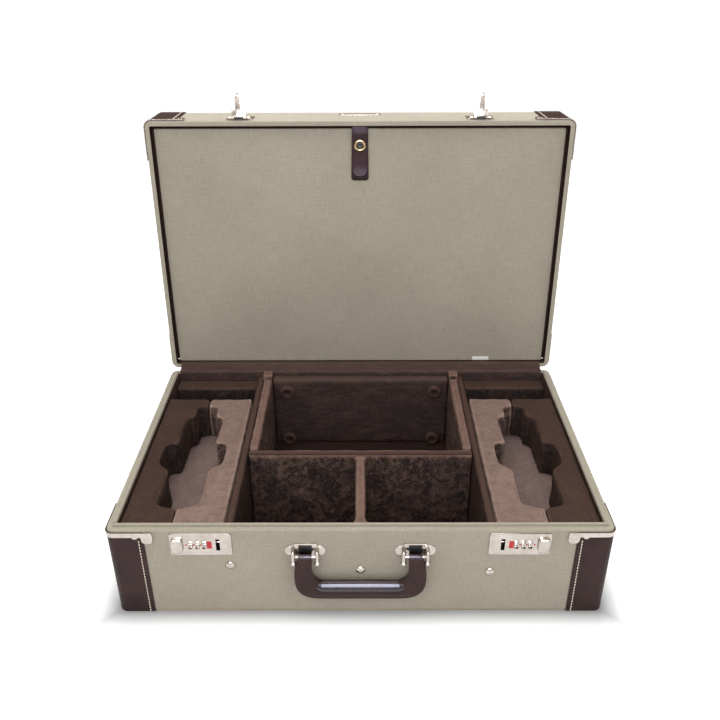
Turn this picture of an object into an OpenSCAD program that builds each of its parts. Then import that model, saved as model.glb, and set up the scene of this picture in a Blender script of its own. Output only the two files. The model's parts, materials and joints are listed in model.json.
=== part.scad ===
// Microphone case: a hinged hard case with two combination locks, a pocket in the lid
// and velvet trays for two microphones and their supply. Millimetres, +Z up.
// The origin is the centre of the bottom face, and the front with the handle looks along -Y.

/* [Case] */
// Width of the case over its cloth
case_w = 600; // [540:1:700]
// Depth of the case over its cloth, front to back
case_d = 382; // [370:1:440]
// Height of the base up to its ledge
base_h = 130; // [126:1:170]
// Depth of the lid from its rim to its roof
lid_h = 76; // [66:1:120]
// Angle between the closed lid and the open lid
open_angle = 92.6; // [80:0.2:110]
// Radius of the upright corners
corner_r = 9; // [8.5:0.5:14]
// Gap between the two rims when the lid is shut
rim_gap = 0.4; // [0.3:0.1:1]

/* [Walls] */
// Thickness of the boards of the base
board_t = 6.2; // [5.5:0.1:8]
// Thickness of the boards of the lid
lid_board_t = 5.7; // [5:0.1:6]
// Thickness of the linen cloth
cloth_t = 0.8; // [0.5:0.1:0.8]
// Thickness of the inner boards that form the lip
lip_t = 4; // [3.5:0.1:5]
// Height of the lip over the ledge
lip_rise = 3.5; // [2:0.1:3.8]
// Thickness of the velvet on walls and floor
velvet_t = 1; // [0.6:0.1:1.4]
// Thickness of the bottom board
bottom_t = 6; // [5:0.1:9]

/* [Corners] */
// Width of a leather corner on each wall
leather_w = 44; // [30:1:48]
// Thickness of the leather
leather_t = 1.2; // [0.8:0.1:1.6]
// Height of the leather's lower end over the floor
leather_foot = 0.4; // [0.3:0.1:2]
// Length of each arm of a corner bracket
bracket_l = 55; // [50:1:62]
// Height of the bracket's strip
bracket_h = 9; // [6:0.5:11]
// Thickness of the bracket
bracket_t = 1; // [0.6:0.1:1.5]
// Width of the lobe at the end of a bracket
lobe_w = 13.6; // [11:0.2:18]
// Height of that lobe
lobe_h = 18; // [15:0.5:24]
// Distance of the front brackets' edge from the rim
bracket_drop = 1.2; // [0.8:0.1:3]
// Distance of the rear brackets' edge from the rim, clear of the hinge
rear_drop = 3.6; // [3.4:0.1:6]
// Radius of a rivet in a lobe
rivet_r = 1.1; // [0.8:0.1:1.6]
// Distance between a lobe's two rivets
rivet_pitch = 3.8; // [3:0.1:6]

/* [Trays] */
// Width of a microphone tray
tray_w = 126; // [118:1:132]
// Level of the tops of the trays and padded walls below the ledge
tray_drop = 1; // [0.5:0.5:6]
// Length of a tray, front to back
tray_l = 286; // [278:1:294]
// Depth of the microphone's cavity
cavity_depth = 54; // [30:1:80]
// Width of the cavity along the microphone's body
cavity_w = 52; // [40:1:60]
// Width of the cavity where its swivel mount lies
mount_w = 86; // [70:1:92]
// Length of that wide part
mount_l = 46; // [36:1:56]
// Length of the cavity from its front end to the narrow head end
cavity_l = 205; // [180:1:212]
// Length of the slanted shoulders in front of that wide part
shoulder_l = 15; // [8:1:20]
// Length of the slanted nose at the cavity's front end
nose_l = 8.5; // [4:0.5:14]
// Width of the narrow head end
head_w = 30; // [24:1:38]
// Length by which the head end runs on
head_l = 30; // [20:1:34]
// Distance of the swivel mount's middle from the cavity's front end
mount_at = 117; // [100:1:125]
// Distance from the tray's front to the cavity
cavity_front = 29; // [25:1:36]
// Depth of the padded block behind each tray
ledge_d = 27; // [20:1:30]
// Level of that block's top below the ledge
ledge_drop = 11; // [6:1:30]

/* [Compartments] */
// Radius of the upper edges of the padded walls
pad_r = 3; // [1:0.5:3.8]
// Thickness of the long dividers
divider_t = 10; // [8:0.5:12]
// Level of their tops below the ledge
divider_drop = 3; // [2:0.5:10]
// Thickness of the padded side walls of the rear compartment
side_pad_t = 12.5; // [9:0.5:15]
// Thickness of its padded back wall
back_pad_t = 16; // [10:0.5:18]
// Thickness of the cross divider
cross_t = 14; // [10:0.5:16]
// Distance of the cross divider's front from the case's centre
cross_front = 38; // [30:1:46]
// Thickness of the centre divider
centre_t = 14; // [10:0.5:16]
// Radius of a foot cup
cup_r = 10.5; // [8:0.5:12]
// Length of a foot cup
cup_l = 7; // [5:0.5:9]
// Radius of the dimple in a foot cup
cup_hole_r = 5; // [3:0.5:6]
// Distance of the foot cups' centres from the padded side walls
cup_inset = 23.3; // [17:0.1:40]
// Height of the lower foot cups over the velvet floor
cup_low = 11.2; // [11:0.2:20]
// Height of the upper foot cups over the lower ones
cup_pitch = 88; // [70:1:92]

/* [Locks] */
// Distance of each lock's centre from the side of the case
lock_inset = 111; // [104:1:118]
// Width of a lock's face plate
lock_w = 74; // [72:1:84]
// Height of the face plate
lock_h = 33; // [31:0.5:38]
// Thickness of the face plate
lock_t = 2; // [1.5:0.1:2.4]
// Distance of the face plate's top below the ledge
lock_drop = 4; // [3.5:0.5:10]
// Width of the lock case in the wall
lock_case_w = 66; // [65.5:0.5:68]
// Height of the lock case in the wall
lock_case_h = 27; // [26:0.5:29]
// Thickness of the lock case
lock_case_t = 1; // [0.8:0.1:1]
// Radius of a dial
dial_r = 7; // [6:0.1:7]
// Width of a dial
dial_t = 4.4; // [3.5:0.1:5]
// Distance between two dials
dial_pitch = 8.2; // [7:0.1:8.4]
// Distance of the middle dial from the lock's centre, outward
dial_x = 4; // [3:0.5:4.5]
// Distance of the dials' axis behind the wall's face
dial_depth = 3.8; // [3.8:0.1:4]
// Radius of the dials' axle
axle_r = 1.5; // [1:0.1:2]
// Running clearance of pins and dials
fit = 0.05; // [0.03:0.01:0.08]
// Width of a slider's button
slider_w = 13.4; // [11:0.2:14]
// Height of a slider's button
slider_h = 20.5; // [16:0.5:22]
// Travel of a slider
slider_travel = 4; // [3:0.5:4]
// Distance of a slider's button from the lock's centre, outward
slider_x = 28; // [27.5:0.5:28.5]
// Distance of the hasp slot from the lock's centre, inward
slot_x = 20.4; // [19.8:0.2:20.8]
// Width of the hasp slot
slot_w = 4.8; // [4.4:0.1:5.4]
// Height of the hasp slot
slot_h = 17; // [15:0.5:19]

/* [Hasps] */
// Width of a hasp's base plate
hasp_w = 38; // [30:1:44]
// Height of the base plate
hasp_h = 28; // [24:1:34]
// Distance of the base plate above the lid's rim
hasp_rise = 6; // [5:0.5:12]
// Thickness of the base plate
hasp_t = 1.4; // [1:0.1:2]
// Radius of a hasp's knuckles
hasp_knuckle_r = 2.4; // [2.2:0.1:3]
// Radius of a hasp's pin
hasp_pin_r = 1.1; // [0.8:0.1:1.3]
// Width of the hasp's leaf
leaf_w = 20; // [14:1:24]
// Length of the wide leaf
leaf_l = 10; // [8:0.5:14]
// Width of the hasp's tongue
tongue_w = 8; // [6:0.5:10]
// Thickness of the leaf and the tongue
tongue_t = 1.8; // [1.4:0.1:2.2]
// Width of the hook
hook_w = 3.4; // [2.6:0.1:3.6]
// Length of the hook into the lock
hook_l = 10.2; // [9.6:0.1:11.5]
// Length of the tongue beyond the hook's middle
hasp_tip = 3; // [2.4:0.1:5]

/* [Handle] */
// Distance of each handle mount from the centre
mount_x = 65.5; // [60:0.5:72]
// Width of a mount plate
mount_plate_w = 48; // [42:1:56]
// Height of a mount plate
mount_plate_h = 19.5; // [16:0.5:24]
// Thickness of a mount plate
mount_plate_t = 1.6; // [1.2:0.1:2.4]
// Distance of the mount plates' centre below the ledge
mount_drop = 29; // [24:1:36]
// Distance of the handle's pivot below the mount plates' centre
pivot_drop = 4; // [2:0.5:6]
// Distance of the pivot in front of the wall
pivot_out = 9; // [9:0.5:12]
// Half the distance between the two posts of a mount
post_x = 14.3; // [12.5:0.1:16]
// Radius of a post
post_r = 2.4; // [1.8:0.1:2.8]
// Radius of the ball at a post's foot
ball_r = 3.6; // [3:0.1:4.2]
// Radius of the handle's cross pins
pin_r = 1.6; // [1.2:0.1:2]
// Width of the handle over its legs
handle_w = 158; // [150:1:170]
// Drop of the handle from its pivot to its lower edge
handle_drop = 64; // [58:1:70]
// Height of the grip
grip_h = 24; // [18:1:28]
// Thickness of the grip
grip_t = 15; // [12:0.5:16.5]
// Width of the thick middle of the grip
palm_w = 120; // [90:1:126]
// Width of a handle leg at its eye
leg_w = 16; // [12:0.5:18]
// Thickness of a handle leg
leg_t = 7; // [5.6:0.2:9]
// Thickness of the steel core in the handle
core_t = 2; // [1.5:0.1:2.6]
// Width of the steel core
core_w = 8; // [6:0.5:9]

/* [Screws] */
// Radius of a divider screw's head
screw_r = 5.2; // [4:0.1:6.5]
// Height of the domed head
screw_dome = 2.6; // [1.5:0.1:3.5]
// Radius of its shank
shank_r = 2; // [1.5:0.1:2.5]
// Length of its shank behind the wall's face
shank_l = 34; // [20:1:45]
// Heights of the left, centre and right screw below the ledge
screw_drop = [54, 62, 65]; // [40:1:80]

/* [Hinge] */
// Length of the piano hinge
hinge_l = 572; // [520:1:574]
// Number of knuckles along it
knuckle_count = 13; // [9:2:17]
// Radius of the knuckles
knuckle_r = 2.5; // [2.2:0.1:3]
// Radius of the hinge pin
hinge_pin_r = 1.2; // [0.8:0.1:1.4]
// Thickness of the hinge leaves
hinge_leaf_t = 1; // [0.8:0.1:1.2]
// Distance of the hinge axis behind the rear wall
hinge_out = 2.8; // [2.8:0.1:3.4]
// Gap between two neighbouring knuckles
knuckle_gap = 0.3; // [0.2:0.1:0.6]

/* [Lid pocket] */
// Depth of the pocket panel behind the lid's rim
panel_recess = 8; // [7.6:0.2:14]
// Thickness of the panel's board
panel_t = 4.4; // [3.5:0.1:6]
// Thickness of the panel's linen
panel_cloth_t = 0.6; // [0.4:0.1:0.8]
// Gap between the panel and the lid's walls
panel_gap = 3.8; // [2:0.1:5]
// Width of the battens that the panel shuts against
batten_w = 6; // [5:0.5:10]
// Radius of the panel's pivot pins
pivot_pin_r = 1.2; // [0.8:0.1:1.6]
// Width of the strap
strap_w = 22; // [16:0.5:28]
// Length of the strap
strap_l = 70; // [50:1:90]
// Thickness of the strap
strap_t = 2.4; // [1.6:0.1:2.6]
// Width of the patch behind the strap
patch_w = 25; // [23:0.5:32]
// Length of the patch
patch_l = 77; // [60:1:100]
// Thickness of the patch
patch_t = 1.3; // [0.8:0.1:1.4]
// Distance of the snap from the strap's upper end
snap_y = 27; // [20:1:35]
// Radius of the snap's cap
snap_r = 8.5; // [6:0.5:10]
// Radius of the snap's stud
stud_r = 3; // [2.2:0.1:4]
// Distance of the blank tag's middle from the panel's edge
tag_inset = 97.7; // [60:0.1:140]
// Width of the tag
tag_w = 26; // [18:1:34]
// Height of the tag
tag_h = 6; // [4:0.5:12]
// Width of the plate on the lid's front wall
plate_w = 60; // [40:1:80]
// Height of that plate
plate_h = 12; // [8:0.5:16]
// Distance of the plate's centre above the rim
plate_rise = 52; // [30:1:56]

/* [Hidden] */
$fn = 64;
// soft pieces keep this distance from their neighbours on other bodies
soft_gap = 0.3;
seat_gap = 0.2;
cut = 1;
ledge_w = board_t + cloth_t;
lid_wall = lid_board_t + cloth_t;
floor_z = cloth_t + bottom_t;
velvet_z = floor_z + velvet_t + 0.2;
wall_in = ledge_w + lip_t + velvet_t;
in_x = case_w / 2 - wall_in;
in_y = case_d / 2 - wall_in;
front_y = -case_d / 2;
pad_z = base_h - tray_drop;
// the rims and the hinge
hinge_y = case_d / 2 + hinge_out;
hinge_z = base_h + rim_gap / 2;
rim_z = base_h + rim_gap;
knuckle_pitch = hinge_l / knuckle_count;
// trays: the outer edge lies against the wall's velvet
tray_out = in_x;
tray_in = in_x - tray_w;
divider_x = tray_in - seat_gap - divider_t;
side_pad_x = divider_x - side_pad_t;
ledge_y = in_y - ledge_d;
tray_y = -in_y + tray_l;
split_x = (tray_in + tray_out) / 2;
cavity_z = pad_z - cavity_depth;
cavity_y = -in_y + cavity_front;
mount_y = cavity_y + mount_at;
cross_back = -cross_front + cross_t;
back_y = in_y - back_pad_t;
cup_x = side_pad_x - cup_inset;
// locks
lock_x = case_w / 2 - lock_inset;
lock_z = base_h - lock_drop - lock_h / 2;
dial_y = front_y + dial_depth;
dials = [-1, 0, 1];
window_w = 2 * dial_pitch + dial_t + 8;
window_h = 14;
window_shift = 3;
dial_gap = 0.4;
bolt_t = 3;
bolt_y = front_y + 2;
finger_y = bolt_y + bolt_t / 2;
bolt_z = lock_z + dial_r + 3;
finger_r = 1.1;
slot_pos = lock_x - slot_x;
// hasps
hasp_axis_t = hasp_rise + hasp_knuckle_r;
hasp_axis_y = front_y - lock_t - tongue_t / 2 - 0.5;
hasp_reach = hasp_axis_t + rim_gap + base_h - lock_z;
hook_hole_r = 1.6;
// handle
mount_z = base_h - mount_drop;
pivot_z = mount_z - pivot_drop;
pivot_y = front_y - pivot_out;
handle_y = front_y - soft_gap - 0.4 - grip_t / 2;
grip_r = 22;
inner_r = 13;
eye_h = 4.5;
inner_w = handle_w - 2 * leg_w - 6;
// lid, measured in the shut position: s runs forward from the hinge wall, t up from the rim
panel_s0 = lid_wall + 1.6;
panel_s1 = case_d - lid_wall - panel_gap + 1.3;
panel_x = case_w / 2 - lid_wall - panel_gap;
tag_x = panel_x - tag_inset;
panel_back = panel_recess + panel_t + panel_cloth_t;
pivot_s = panel_s0 + panel_t / 2 + 0.4;
pivot_t = panel_recess + (panel_t + panel_cloth_t) / 2;
strap_top = case_d - lid_wall - 0.6;
strap_front = panel_recess - patch_t - soft_gap - strap_t;
snap_s = strap_top - snap_y;
cap_t = 2.2;

// ---------- shared shapes ----------

module rounded_2d(w, d, r) {
    square([w - 2 * r, d], center = true);
    square([w, d - 2 * r], center = true);
    for (x = [-1, 1], y = [-1, 1])
        translate([x * (w / 2 - r), y * (d / 2 - r)]) circle(r);
}

module rounded_plate(w, d, h, r) {
    linear_extrude(h) rounded_2d(w, d, r);
}

// A ring around the case: out is how far its outside lies beyond the cloth
module ring_2d(out, t) {
    difference() {
        rounded_2d(case_w + 2 * out, case_d + 2 * out, corner_r + out);
        rounded_2d(case_w + 2 * out - 2 * t, case_d + 2 * out - 2 * t, corner_r + out - t);
    }
}

// The same ring with square corners inside, as boards meet there
module frame_2d(out, t) {
    difference() {
        rounded_2d(case_w + 2 * out, case_d + 2 * out, corner_r + out);
        square([case_w + 2 * out - 2 * t, case_d + 2 * out - 2 * t], center = true);
    }
}

module box(x0, x1, y0, y1, z0, z1) {
    translate([x0, y0, z0]) cube([x1 - x0, y1 - y0, z1 - z0]);
}

// Copies its children to the left and, mirrored, to the right
module both() {
    for (m = [0, 1]) mirror([m, 0, 0]) children();
}

// Turns what is modelled shut into the open lid's place
module open_lid() {
    translate([0, hinge_y, hinge_z]) rotate([-open_angle, 0, 0])
        translate([0, -hinge_y, -hinge_z]) children();
}

// Puts children drawn with X across, Y forward from the hinge wall and Z up from the rim
// into the shut lid
module in_lid() {
    open_lid() translate([0, case_d / 2, rim_z]) mirror([0, 1, 0]) children();
}

// ---------- base shell ----------

// What passes through the front wall: lock cases, screws and handle rivets
module front_cuts() {
    both() box(-lock_x - lock_case_w / 2, -lock_x + lock_case_w / 2, front_y - cut,
        -in_y + cut, lock_z - lock_case_h / 2, lock_z + lock_case_h / 2);
    for (i = [0:2])
        translate([screw_x(i), front_y - cut, base_h - screw_drop[i]])
            rotate([-90, 0, 0]) cylinder(h = wall_in + 2 * cut, r = shank_r);
}

// The rebate for the hinge leaf along the rear ledge
module hinge_cut(z0) {
    box(-hinge_l / 2 - seat_gap, hinge_l / 2 + seat_gap, case_d / 2 - ledge_w - cut,
        case_d / 2 + cut, z0, z0 + hinge_leaf_t + cut);
}

module base_bottom_board() {
    color("burlywood") translate([0, 0, cloth_t])
        rounded_plate(case_w - 2 * cloth_t, case_d - 2 * cloth_t, bottom_t, corner_r - cloth_t);
}

module base_end_board(side) {
    color("burlywood") difference() {
        translate([0, 0, floor_z]) linear_extrude(base_h - cloth_t - floor_z) intersection() {
            frame_2d(-cloth_t, board_t);
            translate([0, side * case_d / 2]) square([case_w, 2 * corner_r], center = true);
        }
        front_cuts();
        hinge_cut(base_h - hinge_leaf_t);
    }
}

module base_front_board() { base_end_board(-1); }
module base_rear_board() { base_end_board(1); }

module base_side_boards() {
    color("burlywood") translate([0, 0, floor_z]) linear_extrude(base_h - cloth_t - floor_z)
        intersection() {
            frame_2d(-cloth_t, board_t);
            square([case_w, case_d - 2 * corner_r], center = true);
        }
}

module base_bottom_cloth() {
    color("darkkhaki") rounded_plate(case_w, case_d, cloth_t, corner_r);
}

module base_side_cloth() {
    color("darkkhaki") difference() {
        union() {
            translate([0, 0, cloth_t]) linear_extrude(base_h - cloth_t) ring_2d(0, cloth_t);
            translate([0, 0, base_h - cloth_t]) linear_extrude(cloth_t) frame_2d(0, ledge_w);
        }
        front_cuts();
        hinge_cut(base_h - hinge_leaf_t);
    }
}

// The inner boards, standing above the ledge with a rounded top
module lip_bar(len) {
    rotate([90, 0, 90]) translate([0, 0, -len / 2]) linear_extrude(len) {
        translate([-lip_t / 2, 0]) square([lip_t, base_h + lip_rise - lip_t / 2 - floor_z]);
        translate([0, base_h + lip_rise - lip_t / 2 - floor_z]) circle(lip_t / 2);
    }
}

module rim_lip() {
    lip_x = case_w / 2 - ledge_w - lip_t / 2;
    lip_y = case_d / 2 - ledge_w - lip_t / 2;
    color("darkkhaki") difference() {
        union() {
            for (s = [-1, 1]) {
                translate([0, s * lip_y, floor_z]) lip_bar(2 * lip_x + lip_t);
                translate([s * lip_x, 0, floor_z]) rotate([0, 0, 90]) lip_bar(2 * lip_y - lip_t);
            }
        }
        front_cuts();
    }
}

module wall_velvet() {
    color("saddlebrown") difference() {
        translate([0, 0, floor_z]) linear_extrude(base_h - floor_z) difference() {
            square([2 * (in_x + velvet_t), 2 * (in_y + velvet_t)], center = true);
            square([2 * in_x, 2 * in_y], center = true);
        }
        front_cuts();
    }
}

module floor_velvet() {
    color("saddlebrown") box(-in_x, in_x, -in_y, in_y, floor_z, velvet_z);
}

// ---------- leather corners and brackets ----------

module corner_window(x_side, y_side, w) {
    translate([x_side * (case_w / 2 - w / 2 + 5), y_side * (case_d / 2 - w / 2 + 5)])
        square([w + 10, w + 10], center = true);
}

module leather_corner(x_side, y_side, z0, z1) {
    color([0.28, 0.21, 0.20]) translate([0, 0, z0]) linear_extrude(z1 - z0) intersection() {
        ring_2d(leather_t, leather_t);
        corner_window(x_side, y_side, leather_w);
    }
}

// The bracket of a corner, its strip from z0 up to z1 and its lobes hanging by lobe_h from hang,
// which is 1 where they point down and -1 where they point up
module bracket(x_side, y_side, top, down) {
    out = leather_t + bracket_t;
    far_x = x_side * (case_w / 2 - bracket_l + lobe_w / 2);
    far_y = y_side * (case_d / 2 - bracket_l + lobe_w / 2);
    lobe_mid = top - down * lobe_h / 2;
    color("gainsboro") {
        translate([0, 0, min(top, top - down * bracket_h)]) linear_extrude(bracket_h)
            intersection() {
                ring_2d(out, bracket_t);
                corner_window(x_side, y_side, bracket_l - lobe_w / 2);
            }
        translate([far_x, y_side * (case_d / 2 + leather_t + bracket_t / 2), lobe_mid])
            rotate([90, 0, 0]) lobe(x_side, down);
        translate([x_side * (case_w / 2 + leather_t + bracket_t / 2), far_y, lobe_mid])
            rotate([90, 0, 90]) lobe(y_side, down);
    }
}

// One lobe with its two rivets, drawn upright and centred
module lobe(side, down) {
    translate([0, 0, -bracket_t / 2]) rounded_plate(lobe_w, lobe_h, bracket_t, 4);
    for (i = [-1, 1], f = [-1, 1])
        translate([i * rivet_pitch / 2, -down * 2, f * (bracket_t / 2 + 0.1) - 0.4])
            cylinder(h = 0.8, r = rivet_r);
}

module base_leather_front() {
    for (x = [-1, 1]) leather_corner(x, -1, leather_foot, base_h - bracket_drop);
}

module base_leather_rear() {
    for (x = [-1, 1]) leather_corner(x, 1, leather_foot, base_h - rear_drop);
}

// How far the hardware of the front (-1) or rear (1) corners stays from the rim
function drop(side) = side < 0 ? bracket_drop : rear_drop;

module base_brackets() {
    for (x = [-1, 1], y = [-1, 1]) bracket(x, y, base_h - drop(y), 1);
}

// ---------- padded walls inside ----------

// A padded wall on the floor: the same corners as a box, with its two upper edges rounded
module pad_along_x(x0, x1, y0, y1, top) {
    translate([x0, 0, 0]) rotate([90, 0, 90]) linear_extrude(x1 - x0) pad_2d(y0, y1, top);
}

module pad_along_y(x0, x1, y0, y1, top) {
    translate([0, y1, 0]) rotate([90, 0, 0]) linear_extrude(y1 - y0) pad_2d(x0, x1, top);
}

module pad_2d(a, b, top) {
    translate([a, velvet_z]) square([b - a, top - pad_r - velvet_z]);
    translate([a + pad_r, velvet_z]) square([b - a - 2 * pad_r, top - velvet_z]);
    for (x = [a + pad_r, b - pad_r]) translate([x, top - pad_r]) circle(pad_r);
}

// The holes that the screws through the front wall cut in the dividers
module screw_holes() {
    for (i = [0:2])
        translate([screw_x(i), front_y, base_h - screw_drop[i]])
            rotate([-90, 0, 0]) cylinder(h = shank_l, r = shank_r);
}

module long_dividers() {
    color("saddlebrown") difference() {
        both() pad_along_y(-tray_in + seat_gap, -divider_x, -in_y, in_y, base_h - divider_drop);
        screw_holes();
    }
}

module rear_side_pads() {
    color("rosybrown") both() pad_along_y(-divider_x, -side_pad_x, cross_back, in_y, pad_z);
}

module rear_back_pad() {
    color("rosybrown") pad_along_x(-side_pad_x, side_pad_x, back_y, in_y, pad_z);
}

module cross_divider() {
    color("rosybrown") pad_along_x(-divider_x, divider_x, -cross_front, cross_back, pad_z);
}

module centre_divider() {
    color("rosybrown") difference() {
        pad_along_y(-centre_t / 2, centre_t / 2, -in_y, -cross_front, pad_z);
        screw_holes();
    }
}

module foot_cups() {
    color("saddlebrown") both() for (z = [0, cup_pitch])
        translate([-cup_x, back_y - cup_l, velvet_z + cup_low + z]) rotate([-90, 0, 0])
            difference() {
                cylinder(h = cup_l, r = cup_r);
                translate([0, 0, -cut]) cylinder(h = cup_l * 0.5 + cut, r = cup_hole_r);
            }
}

module rear_ledges() {
    color("rosybrown") both()
        box(-tray_out, -tray_in, ledge_y, in_y, velvet_z, base_h - ledge_drop);
}

// ---------- microphone trays ----------

// Turns corners given as [x, y, reach] into an outline in which each corner is a short curve
// that leaves the straight edges at that reach
function toward(a, b) = (b - a) / norm(b - a);
function point(p) = [p[0], p[1]];
function bend(a, b, c, reach) = [for (t = [0:0.2:1])
    b + reach * ((1 - t) * (1 - t) * toward(b, a) + t * t * toward(b, c))];
function rounded(p) = [for (i = [0:len(p) - 1])
    each bend(point(p[(i + len(p) - 1) % len(p)]), point(p[i]), point(p[(i + 1) % len(p)]), p[i][2])];

// The cavity for a microphone: a pointed nose, the body, the wide place of the swivel mount
// and the narrow head end
module cavity_2d() {
    body = cavity_w / 2;
    wide = mount_w / 2;
    wide_y = mount_y - mount_l / 2;
    body_y = cavity_y + cavity_l;
    side = [[body, cavity_y + nose_l, 8], [body, wide_y - shoulder_l, 7], [wide, wide_y, 9],
        [wide, wide_y + mount_l, 9], [body, wide_y + mount_l, 4], [body, body_y, 6],
        [head_w / 2, body_y + 3, 3], [head_w / 2, body_y + head_l, 9]];
    other = [for (i = [len(side) - 1:-1:0]) [-side[i][0], side[i][1], side[i][2]]];
    polygon(rounded(concat([[0, cavity_y, 6]], side, other)));
}

// One half of the left tray: from split_x outward (side 1) or inward (side -1)
module tray_half(side) {
    x0 = side > 0 ? -tray_out : -split_x;
    x1 = side > 0 ? -split_x : -tray_in;
    translate([0, 0, cavity_z]) linear_extrude(pad_z - cavity_z) difference() {
        translate([x0, -in_y]) square([x1 - x0, tray_l]);
        translate([-split_x, 0]) cavity_2d();
    }
}

module tray_blocks() {
    color("dimgray") both()
        box(-tray_out, -tray_in, -in_y, tray_y, velvet_z, cavity_z - velvet_t);
}

module cavity_floors() {
    color("rosybrown") both()
        box(-tray_out, -tray_in, -in_y, tray_y, cavity_z - velvet_t, cavity_z);
}

module tray_left_outer() { color("saddlebrown") tray_half(1); }
module tray_left_inner() { color("rosybrown") tray_half(-1); }
module tray_right_outer() { mirror([1, 0, 0]) tray_left_outer(); }
module tray_right_inner() { mirror([1, 0, 0]) tray_left_inner(); }

// ---------- locks ----------

// Moves children from the left lock's own centre to the left or right lock
module at_lock(side) {
    if (side < 0) translate([-lock_x, 0, 0]) children();
    else mirror([1, 0, 0]) translate([-lock_x, 0, 0]) children();
}

module slot_box(y0, y1, w, h) {
    box(slot_x - w / 2, slot_x + w / 2, y0, y1, lock_z - h / 2, lock_z + h / 2);
}

// The opening in the plate that the dials and the red index plate look through
module window_box(y0, y1, gap) {
    x0 = -dial_x - window_w / 2;
    box(x0 - gap, x0 + window_w + window_shift + gap, y0, y1,
        lock_z - window_h / 2 - gap, lock_z + window_h / 2 + gap);
}

module lock_plate() {
    difference() {
        translate([0, front_y, lock_z]) rotate([90, 0, 0]) rounded_plate(lock_w, lock_h, lock_t, 3);
        slot_box(front_y - lock_t - cut, front_y + cut, slot_w, slot_h);
        window_box(front_y - lock_t - cut, front_y + cut, 0);
        box(-slider_x - 3 - fit, -slider_x + 3 + fit + slider_travel, front_y - lock_t - cut,
            front_y + cut, lock_z - 4 - fit, lock_z + 4 + fit);
    }
}

module lock_plates() {
    color("gainsboro") for (s = [-1, 1]) at_lock(s) lock_plate();
}

// The box in the wall, open at the front, with two webs that carry the axle
module lock_case() {
    back = -in_y;
    web = 1.2;
    x_web = 1.5 * dial_pitch + dial_gap;
    difference() {
        box(-lock_case_w / 2, lock_case_w / 2, front_y, back,
            lock_z - lock_case_h / 2, lock_z + lock_case_h / 2);
        box(-lock_case_w / 2 + lock_case_t, lock_case_w / 2 - lock_case_t, front_y - cut,
            back - lock_case_t, lock_z - lock_case_h / 2 + lock_case_t,
            lock_z + lock_case_h / 2 - lock_case_t);
    }
    difference() {
        for (i = [-1, 1])
            box(-dial_x + i * x_web - web / 2, -dial_x + i * x_web + web / 2, dial_y - 2.5,
                back - lock_case_t, lock_z - lock_case_h / 2 + lock_case_t, lock_z + 4);
        axle(axle_r);
    }
}

module axle(r) {
    len = 3 * dial_pitch + 4;
    translate([-dial_x - len / 2, dial_y, lock_z]) rotate([0, 90, 0]) cylinder(h = len, r = r);
}

module lock_cases() {
    color("silver") for (s = [-1, 1]) at_lock(s) lock_case();
}

module dial_axles() {
    color("silver") for (s = [-1, 1]) at_lock(s) axle(axle_r);
}

module index_plate() {
    difference() {
        window_box(front_y - lock_t + 0.6, front_y, -fit);
        for (i = dials)
            box(-dial_x + i * dial_pitch - dial_t / 2 - dial_gap,
                -dial_x + i * dial_pitch + dial_t / 2 + dial_gap, front_y - lock_t - cut,
                front_y + cut, lock_z - dial_r + 0.4, lock_z + dial_r - 0.4);
    }
}

module index_plates() {
    color("crimson") for (s = [-1, 1]) at_lock(s) index_plate();
}

// A dial with ten flutes on its rim; place is -1, 0 or 1 along the axle
module dial(place) {
    translate([-dial_x + place * dial_pitch - dial_t / 2, dial_y, lock_z]) rotate([0, 90, 0])
        difference() {
            cylinder(h = dial_t, r = dial_r);
            translate([0, 0, -cut]) cylinder(h = dial_t + 2 * cut, r = axle_r + fit);
            for (i = [0:9])
                rotate([0, 0, 36 * i + 18]) translate([dial_r + 0.3, 0, -cut])
                    cylinder(h = dial_t + 2 * cut, r = 0.8, $fn = 16);
        }
}

module dial_at(side, place) { color("gainsboro") at_lock(side) dial(place); }
module dial_left_outer() { dial_at(-1, -1); }
module dial_left_middle() { dial_at(-1, 0); }
module dial_left_inner() { dial_at(-1, 1); }
module dial_right_outer() { dial_at(1, -1); }
module dial_right_middle() { dial_at(1, 0); }
module dial_right_inner() { dial_at(1, 1); }

// The button, its stem through the plate, and the bolt bar that runs over the dials
// to the finger that holds the hasp's hook
module slider() {
    bar_y = bolt_y;
    end_x = slot_x + hook_w / 2 + 2.2;
    color("gainsboro") {
        difference() {
            translate([-slider_x, front_y - lock_t - 0.1, lock_z]) rotate([90, 0, 0])
                rounded_plate(slider_w, slider_h, 1.8, 3);
            translate([-slider_x, front_y - lock_t - 3.4, lock_z - slider_h])
                cylinder(h = 2 * slider_h, r = 2.2);
        }
        box(-slider_x - 3, -slider_x + 3, front_y - lock_t - 0.5, bar_y + bolt_t,
            lock_z - 4, lock_z + 4);
        box(-slider_x - 2, -slider_x + 2, bar_y, bar_y + bolt_t, lock_z, bolt_z);
        box(-slider_x - 2, end_x + 2, bar_y, bar_y + bolt_t, bolt_z - 2, bolt_z + 1);
        box(end_x, end_x + 2, bar_y, bar_y + bolt_t, lock_z - 2, bolt_z);
        translate([slot_x - hook_w / 2 - seat_gap, bar_y + bolt_t / 2, lock_z]) rotate([0, 90, 0])
            cylinder(h = end_x - slot_x + hook_w / 2 + seat_gap + 1, r = finger_r);
    }
}

module slider_left() { at_lock(-1) slider(); }
module slider_right() { at_lock(1) slider(); }

// ---------- handle ----------

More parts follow.
